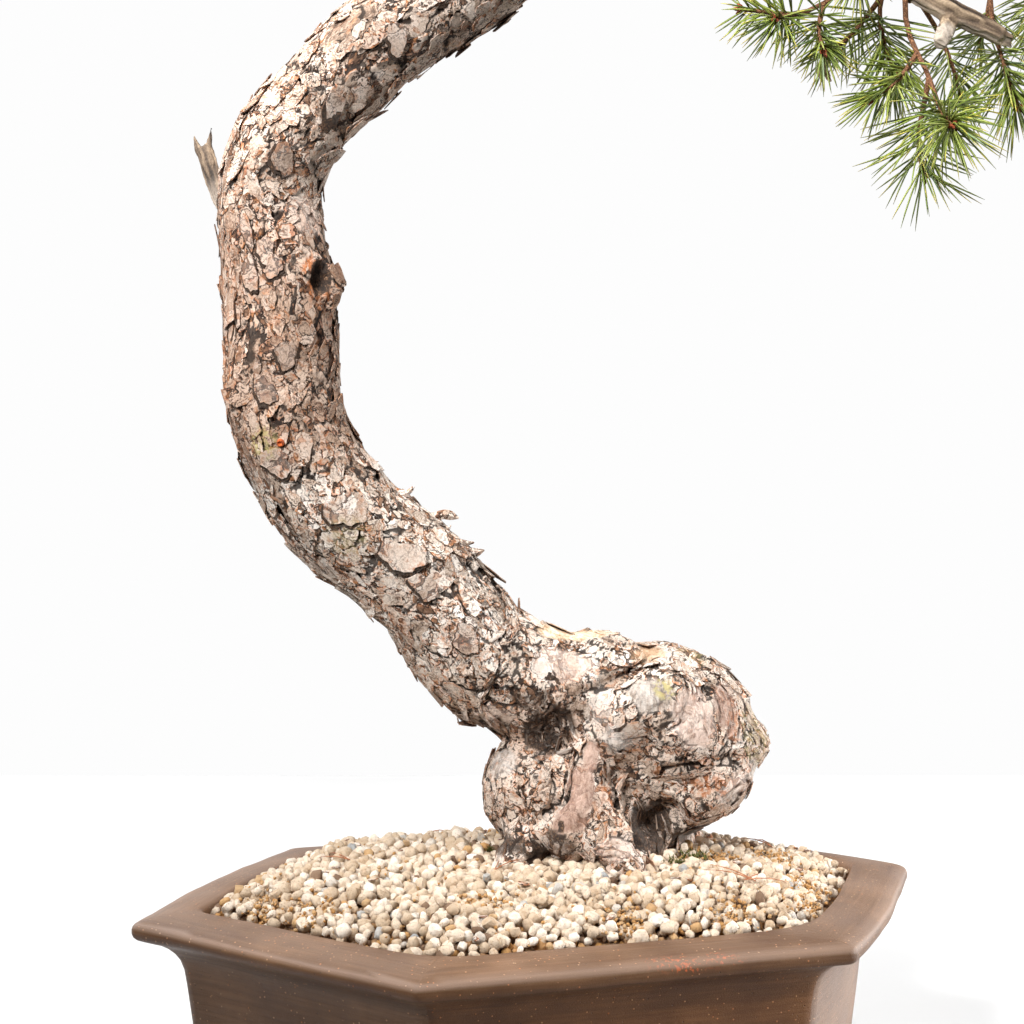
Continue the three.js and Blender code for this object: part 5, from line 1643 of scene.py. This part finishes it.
def make_strips():
    """Strips on the burl's routes, in its hollow and along the trunk, and the horns."""
    rng = np.random.default_rng(51)
    parts = []

    def lay(surface, route, width, thick, lift, curl, share=1.0, **extra):
        placed, faces, marks = strip(route, surface, width, thick, lift, curl, rng)
        found = marks_at(placed)
        found.pop("smooth")
        found["dark"] *= share
        fixed = {key: np.full(len(placed), value) for key, value in extra.items()}
        parts.append((placed * MM, faces, bark, {**found, **marks, **fixed}))

    lay(skin["burl"], ROOT_STRIP, 3.4, 2.0, 0.0, 0.0, tan=1.0, rust=0.5, dark=0.0)

    for route, width, count in ROUTES:
        way = np.array(route, float)
        for _ in range(count):
            start, stop = sorted(rng.uniform(0, 1, 2))
            start, stop = (start, stop) if stop - start > 0.3 else (max(0, start - 0.3), min(1, stop + 0.3))
            line = Line(way + rng.normal(0, width * 0.45, 3))
            lay(
                skin["burl"], line.at(np.linspace(start, stop, 5)), width * rng.uniform(0.5, 1.1),
                rng.uniform(0.35, 0.7), rng.uniform(0.0, 0.25), rng.uniform(-0.02, 0.08),
                rng.uniform(0.4, 1.0),
            )
    steps = np.linspace(0, 1, 5)
    # Fibres in the hollow, darkened as painted shade of the hollow, some with rust
    for _ in range(110):
        start = HOLLOW + rng.normal(0, 0.5, 3) * HOLLOW_REACH
        way = unit(rng.normal(0, 1, 3) * (0.7, 0.2, 1.0)) * rng.uniform(3.5, 9)
        lay(
            skin["burl"], start + way * steps[:, None], rng.uniform(1.2, 3.4), 0.5, rng.uniform(0.1, 0.5),
            rng.uniform(0.0, 0.3), dark=rng.uniform(0.45, 0.95), rust=rng.uniform(0, 0.6),
        )
    trunk = Line(TRUNK)
    samples = np.linspace(0, 1, 400)
    middle, ahead = trunk.at(samples), trunk.ahead(samples)
    side = unit(np.cross((0.0, 1.0, 0.0), ahead))
    front = np.cross(side, ahead)

    def along_trunk(start, long, turn, twist):
        """A route on the trunk's roundness, from a share of its length."""
        last = len(samples) - 1
        picks = np.clip(((start + long * steps) * last).astype(int), 0, last)
        angle = (turn + twist * steps)[:, None]
        return middle[picks] + (side[picks] * np.cos(angle) + front[picks] * np.sin(angle)) * TRUNK_RADIUS

    for k in range(430):
        start = rng.uniform(0.03, 0.62)
        long = rng.uniform(9, 30) / trunk.length
        turn = rng.normal(math.pi, 0.7) if k % 2 else rng.uniform(0, math.tau)
        route = along_trunk(start, long, turn, rng.normal(0, 0.25))
        route = route[::-1] if rng.random() < 0.5 else route
        lay(
            skin["trunk"], route, rng.uniform(2.2, 6.0), rng.uniform(0.3, 0.6), rng.uniform(0, 0.22),
            abs(rng.normal(0, 0.022)),
        )
    # Strips along the trunk's lower left, their dark partly dark bark and partly painted shade
    for _ in range(110):
        start = rng.uniform(0.07, 0.46)
        long = rng.uniform(14, 38) / trunk.length
        turn = rng.normal(2.7, 0.3)
        lay(
            skin["trunk"], along_trunk(start, long, turn, rng.normal(0, 0.1)), rng.uniform(2.0, 4.5), 0.6,
            rng.uniform(0.1, 0.4), abs(rng.normal(0, 0.03)), dark=rng.uniform(0.1, 0.6),
            rust=rng.uniform(0, 0.5),
        )
    points, faces = strip_blank
    t = points[:, 2]
    for *stations, breadth, depth, dark in HORNS:
        xz = np.array(stations).reshape(3, 2)
        nearest, _ = limbs.of(np.column_stack([xz[:, 0], np.zeros(3), xz[:, 1]]))
        y = limbs.middle[nearest[0], 1] - 3
        stations = np.column_stack([xz[:, 0], y + 0 * xz[:, 0], xz[:, 1]])
        foot, out = snapped(skin["trunk"], stations[:1])
        proud = (stations[0] - foot[0]) @ out[0]
        line = Line(stations - out[0] * max(proud + 2, 0))
        way = line.ahead(t)
        across = np.cross(way, (0.0, 1.0, 0.0))
        slim = np.maximum(1 - t, 0.02) ** 0.6 * (1 + 0.25 * np.sin(7 * t + breadth))
        placed = line.at(t) + across * (points[:, 0] * slim * breadth / 2)[:, None]
        placed[:, 1] -= points[:, 1] * slim * depth / 2
        marks = {
            "run": rng.uniform(0, 900, 3) + placed, "rim": np.abs(points[:, 0]) * 0.9,
            "dark": np.full(len(t), dark), "rust": np.full(len(t), 0.3),
        }
        parts.append((placed * MM, faces, bark, marks))
    seat(gathered("bark_strips", parts, 40), "bark", "trunk")


make_strips()

# Dead wood

DEAD = {
    "deadwood_left": [[-146, 4, 444, 3.4], [-160, 8, 466, 4.2], [-167, 11, 486, 5], [-171, 14, 497, 4.6]],
    "deadwood_right": [
        [180, -12, 569, 4.8], [193, -12, 562, 6.2], [211, -13, 553, 5.6], [224, -14, 546, 4.8],
    ],
}


def make_deadwood(node):
    """A bare stub with long fibres and grooves."""
    piece = node_copy(node, "bleached_" + node)
    refined(piece, 1.3, 1, 2)
    p = places(piece.data) / MM
    n = normals(piece.data)
    _, straight = Limbs([DEAD[node]]).of(p)
    fibre = rough(straight / np.array([1.7, 1.7, 17]) + 0.3 * rough(p / 6, 11, 2)[:, None], 12, 3)
    groove = np.clip(-fibre - 0.1, 0, 1)
    move_to(piece.data, (p + n * (0.55 * fibre - 0.8 * groove + 0.3 * lumps(p / 5, 13))[:, None]) * MM)
    if node == "deadwood_right":
        stub = 1 - eased(0.7, 1.1, np.linalg.norm((p - (194, -19, 544)) / (10, 8, 9), axis=1))
        tone, pale = 0.36, np.maximum(stub, eased(0.1, 0.7, -n[:, 2]) * 0.5)
    else:
        tone, pale = 0.56 - 0.3 * eased(466, 486, p[:, 2]), 0.85 - 0.8 * eased(464, 484, p[:, 2])
    mark(piece.data, "fibre", tone + 0.9 * fibre)
    mark(piece.data, "pale", pale)
    piece.data.materials.append(deadwood_paint)
    seat(piece, "deadwood", node)


make_deadwood("deadwood_left")
make_deadwood("deadwood_right")

# Leafy stems

CASCADE, OUTER, RIGHT, LEFT = (BRANCHES[k] for k in ("cascade", "outer", "right", "left"))
BACK, FRONT, TOP = BRANCHES["back"], BRANCHES["front"], TRUNK[-4:]
# Each stem: its branch and the share of it where it starts, its shoots' points, and where side shoots fork
STEMS = {
    "cascade_1": (
        CASCADE, 0.8,
        [
            [[151, -13, 574], [127, -14, 558], [94, -12, 560]],
            [[110, -29, 551]], [[135, -31, 534]], [[150, -38, 572]],
        ],
        [0.66, 0.5, 0.22],
    ),
    "cascade_2": (CASCADE, 0.88, [[[166, -4, 562], [168, -3, 547], [176, 4, 529]], [[140, 6, 540]]], [0.3]),
    "cascade_3": (
        CASCADE, 0.94,
        [
            [[177, -16, 550], [185, -27, 525], [189, -38, 506], [190, -60, 495]],
            [[156, -24, 513]], [[183, -16, 494], [186, -18, 476]],
        ],
        [0.4, 0.55],
    ),
    "cascade_4": (CASCADE, 0.9, [[[184, 4, 572], [198, 11, 554], [206, 13, 537], [211, 14, 520]]], []),
    "cascade_5": (CASCADE, 0.5, [[[124, -38, 598]], [[100, -26, 614]]], [0.28]),
    "cascade_6": (CASCADE, 0.4, [[[96, 34, 606]], [[132, 38, 604]]], [0.28]),
    "outer_1": (OUTER, 0.7, [[[222, 2, 566], [227, -6, 534], [234, -9, 511]], [[222, 26, 548]]], [0.4]),
    "outer_2": (
        OUTER, 0.99, [[[258, -4, 540], [255, -14, 508]], [[286, -6, 541]], [[268, -40, 545]]], [0.28, 0.44],
    ),
    "outer_3": (OUTER, 0.88, [[[254, 40, 562]], [[284, 30, 586]]], [0.28]),
    "outer_4": (OUTER, 0.42, [[[196, -32, 618]], [[224, -24, 641]]], [0.28]),
    "outer_5": (OUTER, 0.55, [[[200, 46, 622]], [[238, 44, 610]]], [0.28]),
    "right_1": (RIGHT, 0.98, [[[213, -10, 704]], [[203, -40, 697]]], [0.28]),
    "right_2": (RIGHT, 0.75, [[[182, 28, 714]], [[194, 8, 733]]], [0.28]),
    "right_3": (RIGHT, 0.55, [[[150, -40, 718]], [[166, -18, 741]]], [0.28]),
    "right_4": (RIGHT, 0.38, [[[132, 36, 724]], [[126, -4, 751]]], [0.28]),
    "left_1": (LEFT, 0.98, [[[-55, -12, 700]], [[-44, 18, 706]]], [0.28]),
    "left_2": (LEFT, 0.74, [[[-30, -46, 702]], [[-8, -26, 727]]], [0.28]),
    "left_3": (LEFT, 0.5, [[[-2, 34, 716]], [[26, -32, 720]]], [0.28]),
    "top_1": (TOP, 0.98, [[[50, -16, 829]], [[20, -22, 814]]], [0.28]),
    "top_2": (TOP, 0.76, [[[88, -18, 808]], [[64, 24, 812]]], [0.28]),
    "top_3": (TOP, 0.62, [[[10, 10, 788]], [[30, -50, 792]]], [0.28]),
    "top_4": (TOP, 0.42, [[[106, 10, 786]], [[94, -44, 780]]], [0.28]),
    "back_1": (BACK, 0.98, [[[98, 122, 688]], [[128, 104, 692]]], [0.28]),
    "back_2": (BACK, 0.7, [[[62, 92, 702]], [[98, 66, 726]]], [0.28]),
    "front_1": (FRONT, 0.97, [[[24, -80, 664]], [[60, -72, 668]]], [0.28]),
}
NEEDLE_LENGTH, TUFT_LENGTH, BUD_LENGTH = 33, 30, 5
# Shoots that aren't like the rest: needle pairs, their length, and how far they lean in at the tip
ODD_SHOOTS = {
    ("cascade_1", 0): (24, 27, 0.8), ("cascade_1", 1): (26, 28, 0.9), ("cascade_1", 2): (42, 27, 1.0),
    ("cascade_1", 3): (40, 28, 1.0), ("cascade_2", 1): (28, 28, 1.0), ("cascade_3", 0): (64, 36, 0.9),
    ("cascade_3", 1): (44, 29, 1.0), ("cascade_3", 2): (36, 38, 0.5), ("cascade_4", 0): (34, 30, 1.0),
    ("outer_1", 1): (22, 26, 1.0),
}
GOLDEN = math.pi * (3 - math.sqrt(5))


def shoot_lines(bearer, share, shoots, forks):
    """The same lines that the solids' shoots follow."""
    parent = Line(bearer)
    lines = []
    for n, points in enumerate(shoots):
        carrier, at = (parent, share) if n == 0 else (lines[0], forks[n - 1])
        start = carrier.at(at)
        route = [np.array(xyz, float) for xyz in points]
        if len(route) == 1:
            lead = carrier.ahead(at) * 0.1 * np.linalg.norm(start - route[0])
            route.insert(0, start + (route[0] - start) * 0.45 + lead)
        lines.append(Line([start, *route]))
    return lines


def bud_blank():
    """An egg, 1 long, with a slimmer tip."""
    drop_selection()
    bpy.ops.mesh.primitive_uv_sphere_add(segments=7, ring_count=5, radius=0.5, enter_editmode=True)
    bpy.ops.mesh.select_all(action="SELECT")
    bpy.ops.mesh.quads_convert_to_tris()
    bpy.ops.object.mode_set(mode="OBJECT")
    points, faces = blank_of(bpy.context.object)
    tip = eased(0, 0.5, points[:, 2])
    points[:, :2] *= (1 - 0.55 * tip)[:, None]
    return points, faces


def frames_along(ahead):
    """Two ways that are square to each way ahead, and to each other."""
    side = unit(np.cross(ahead, np.array([0.31, 0.2, 0.93])))
    return side, np.cross(ahead, side)


def bent_tube(blank, line, radius_of):
    """A straight stick bent along a line, with a radius for each share of its length."""
    points, faces = blank
    share = np.clip(points[:, 2], 0, 1)
    middle, ahead = line.at(share), line.ahead(share)
    side, across = frames_along(ahead)
    out = side * points[:, :1] - across * points[:, 1:2]
    return middle + out * radius_of(share)[:, None], faces


needle_blank = tube_blank(4, 3)
twig_blank = tube_blank(10, 7)
small_bud = bud_blank()


def needles_on(line, seed, rng, pairs=57, length=NEEDLE_LENGTH, gather=0.94):
    """The needles round a shoot's last stretch, in pairs, as points, faces and marks."""
    leafy = min(TUFT_LENGTH, 0.9 * line.length - BUD_LENGTH) / line.length
    start = 1 - leafy - 0.6 * BUD_LENGTH / line.length
    n = np.arange(pairs)
    share = (n + 0.5) / pairs
    spot = start + leafy * share
    root, ahead = line.at(spot), line.ahead(spot)
    side, across = frames_along(ahead)
    turn = n * GOLDEN + seed + rng.normal(0, 0.16, pairs)
    lean = 1.44 - gather * share + rng.normal(0, 0.2, pairs)
    out = side * np.cos(turn)[:, None] + across * np.sin(turn)[:, None]
    aim = unit(ahead * np.cos(lean)[:, None] + out * np.sin(lean)[:, None] + np.array([0, 0, -0.14]))
    twist = rng.uniform(0, math.pi, pairs)
    plane = unit(np.cross(aim, out))
    spread = plane * np.cos(twist)[:, None] + np.cross(aim, plane) * np.sin(twist)[:, None]
    long = length * rng.uniform(0.84, 1.03, pairs) * (1 - 0.12 * share)
    sag = -out * rng.uniform(0.0, 0.1, pairs)[:, None]
    sag = sag + np.array([0, 0, -1]) * rng.uniform(0.0, 0.06, pairs)[:, None]
    points, faces = needle_blank
    t = points[:, 2]
    slim = np.interp(t, [0, 0.25, 0.5, 0.75, 1.0], [0.4, 0.5, 0.52, 0.46, 0.1])
    sets, along, tones, dry = [], [], [], []
    for hand in (-1, 1):
        straight = unit(aim + hand * spread * 0.085)
        reach = long * rng.uniform(0.96, 1.0, pairs)
        first = unit(np.cross(straight, spread))
        second = np.cross(straight, first)
        axis = root[:, None] + straight[:, None] * (reach[:, None] * t[None])[..., None]
        bend = sag[:, None] + hand * 0.03 * spread[:, None]
        axis = axis + bend * (reach[:, None] * t[None] ** 2)[..., None]
        x, y = (points[:, :2] * slim[:, None]).T
        sets.append(axis + (first[:, None] * x[None, :, None] + second[:, None] * y[None, :, None]))
        along.append(np.tile(t, pairs))
        tones.append(np.repeat(np.clip(rng.normal(0.46, 0.24, pairs), 0, 1), len(t)))
        dry.append(np.repeat(rng.random(pairs), len(t)))
    p, f = copied(np.concatenate(sets), faces)
    marks = {"along": np.concatenate(along), "tone": np.concatenate(tones), "dry": np.concatenate(dry)}
    return p * MM, f, needle_paint, marks


def make_stem(number, name, stem):
    """The shoots of one stem, each with its twig, its needles and the buds at its tip."""
    rng = np.random.default_rng(200 + number)
    lines = shoot_lines(*stem)
    parts = []
    for k, line in enumerate(lines):
        twig, faces = bent_tube(twig_blank, line, lambda s: 1.45 - 0.5 * s)
        twig = twig + 0.16 * unit(twig - twig.mean(0)) * lumps(twig / 1.6, 77)[:, None]
        parts.append((twig * MM, faces, twig_paint, {}))
        parts.append(needles_on(line, number + 0.37 * k, rng, *ODD_SHOOTS.get((name, k), ())))
        tip, ahead = line.at(1.0), line.ahead(1.0)
        side, across = frames_along(ahead)
        for angle, tilt, long in ((0, 0, 6.0), (0.6, 0.5, 4.0), (2.7, 0.5, 4.2), (4.6, 0.5, 3.6)):
            if long < 5 and rng.random() < 0.35:
                continue
            out = side * math.cos(angle) + across * math.sin(angle)
            aim = unit(ahead * math.cos(tilt) + out * math.sin(tilt))
            u, v = frames_along(aim)
            b, bud_faces = small_bud
            placed = tip - ahead * 3.2 + out * (0 if tilt == 0 else 0.9)
            placed = placed + np.outer(b[:, 0] * 2.3, u) - np.outer(b[:, 1] * 2.3, v)
            placed = placed + np.outer((b[:, 2] + 0.4) * long, aim)
            parts.append((placed * MM, bud_faces, bud_paint, {}))
    seat(gathered("stem_" + name, parts), "foliage", "spray_" + name)


for number, (name, stem) in enumerate(STEMS.items()):
    make_stem(number, name, stem)

# Small pieces on the wood and the gravel


def make_scar():
    """The orange end of a shoot that broke off, with its pith."""
    spot, out = snapped(skin["trunk"], [(-131, -60, 341.5)])
    drop_selection()
    bpy.ops.mesh.primitive_circle_add(vertices=12, radius=1, fill_type="NGON", enter_editmode=True)
    bpy.ops.mesh.select_all(action="SELECT")
    for grow, rise in ((0.95, 1.0), (0.92, 0.5), (0.7, 0.2), (0.45, -0.5), (0.3, -0.4)):
        bpy.ops.mesh.extrude_region_move(TRANSFORM_OT_translate={"value": (0, 0, rise)})
        bpy.ops.transform.resize(value=(grow, grow, 1), center_override=(0, 0, 0))
    close_up()
    points, faces = blank_of(bpy.context.object)
    u, v = frames_along(unit(out[0]))
    points = points * (2.0, 2.0, 1.6) + (0, 0, 0.4)
    placed = spot[0] + points @ np.array([u, v, unit(out[0])])
    seat(gathered("shoot_scar", [(placed * MM, faces, scar_paint, {})], 40), "bark")


make_scar()


def make_husk():
    """Dry bud scales that still hang on a shoot."""
    rng = np.random.default_rng(61)
    spots = np.array([(140, 3, 538), (138, 1, 533), (141, 4, 531)], float)
    outward = unit(np.array([(-0.3, -1, 0.1), (0.2, -1, 0), (0.5, -0.8, 0.1)]))
    blanks = [scale_blank(seed) for seed in (41, 42, 43)]
    one = np.ones(3)
    laid = laid_scales(
        blanks, spots, outward, np.tile([-0.15, 0, -1.0], (3, 1)), 5 * one, np.array([12.0, 10, 9]),
        4.6 * one, 0.4 * one, 0.1 * one, 0.2 * one, rng.normal(0, 0.3, 3), rng, tan=0.9 * one,
    )
    seat(gathered("bud_husk", [(p * MM, f, bark, marks) for p, f, marks in laid], 40), "bark")


make_husk()


def make_litter():
    """Fallen needle pairs and chips of bark."""
    rng = np.random.default_rng(31)
    fallen = [
        (96, -44, 40), (102, -42, 150), (-24, -40, 70), (120, 30, 120), (-60, 60, 80), (20, 100, 30),
        (-96, -12, 130),
    ]
    points, faces = needle_blank
    t = points[:, 2]
    sets = []
    for x, y, way in fallen:
        for spread in (-0.14, 0.14):
            a = math.radians(way) + spread
            aim = np.array([math.cos(a), math.sin(a), 0.0])
            side = np.array([-math.sin(a), math.cos(a), 0.0])
            length = rng.uniform(22, 30)
            bend = side * (np.sign(spread) * 2.4 * t**2)[:, None]
            axis = np.array([x, y, 0.0]) + aim * (length * t)[:, None] + bend
            px, py = back_turned(axis[:, 0], axis[:, 1])
            axis[:, 2] = mound(px, py) + 3.4 + 1.2 * np.sin(t * 3)
            slim = np.interp(t, [0, 0.5, 1], [0.34, 0.34, 0.1])
            wide, high = (points[:, :2] * slim[:, None]).T
            sets.append(axis + np.outer(wide, side) + np.outer(high, (0, 0, 1.0)))
    p, f = copied(np.array(sets), faces)
    seat(gathered("fallen_needles", [(p * MM, f, dry_paint, {})]), "bark")
    spots = []
    while len(spots) < 22:
        x, y = rng.uniform(-190, 190), rng.uniform(-130, 130)
        px, py = back_turned(x, y)
        if inside_rim(px, py) > MOUTH + 6 and wood_gap((x, y, 140)) > 2:
            spots.append((x, y, float(mound(px, py)) + 3.0))
    spots = np.array(spots)
    count = len(spots)
    up = unit(np.array([0, 0, 1.0]) + rng.normal(0, 0.22, (count, 3)))
    length = rng.uniform(3, 7, count)
    parts = []
    blanks = [scale_blank(seed) for seed in (31, 32, 33)]
    for p, f, marks in laid_scales(
        blanks, spots, up, np.tile([1.0, 0, 0], (count, 1)), np.full(count, 40.0), length, length * 0.6,
        np.full(count, 0.6), np.zeros(count), rng.uniform(0, 0.1, count), rng.uniform(0, math.tau, count),
        rng,
    ):
        parts.append((p * MM, f, bark, {**marks, "rust": np.full(len(p), 0.4)}))
    seat(gathered("bark_chips", parts), "bark")


make_litter()


def make_moss():
    """Short cushions of moss where the wood meets the stones."""
    rng = np.random.default_rng(8)
    beds = [((76, 0), 6, 120), ((66, -14), 4, 60), ((-30, 14), 5, 60), ((40, 84), 8, 120)]
    points, faces = tube_blank(1, 3)
    t = points[:, 2]
    sets = []
    for middle, reach, count in beds:
        for _ in range(count):
            x, y = np.array(middle) + rng.normal(0, reach * 0.55, 2)
            px, py = back_turned(x, y)
            root = np.array([x, y, float(mound(px, py)) + 1.4 + rng.uniform(-1, 1.6)])
            aim = unit(np.array([0, 0, 1.0]) + rng.normal(0, 0.45, 3))
            side, across = frames_along(aim)
            slim = 0.42 * (1 - 0.85 * t)
            skin = np.outer(points[:, 0] * slim, side) - np.outer(points[:, 1] * slim, across)
            sets.append(root + np.outer(t * rng.uniform(1.4, 3.2), aim) + skin)
    p, f = copied(np.array(sets), faces)
    seat(gathered("moss", [(p * MM, f, moss_paint, {})]), "foliage")


make_moss()

# Floor: it fades into the backdrop, so that its far edge doesn't show

drop_selection()
bpy.ops.mesh.primitive_plane_add(size=1, location=(0, 0.33, 0))
floor = bpy.context.object
floor.name = "floor"
floor.scale = (3.2, 1.34, 1)
bpy.ops.object.transform_apply(location=False, rotation=False, scale=True)
floor_paint = Finish("pale_floor", Roughness=0.9)
from_pot = floor_paint.shifted(floor_paint.mm, 0, -100)
far = floor_paint.node("VectorMath", {"operation": "LENGTH"}, {0: from_pot}, "Value")
glow = floor_paint.ease(480, 900, far)
black = (0, 0, 0, 1)
pale = floor_paint.mix(floor_paint.noise(90, 2), (0.83, 0.83, 0.83, 1), (0.85, 0.85, 0.85, 1))
floor_paint.feed(floor_paint.shader.inputs["Emission Color"], floor_paint.mix(glow, black, BACKDROP))
floor_paint.shader.inputs["Emission Strength"].default_value = 1
floor.data.materials.append(floor_paint.finish(floor_paint.mix(glow, pale, black)))
floor.visible_diffuse = False

drop_selection()
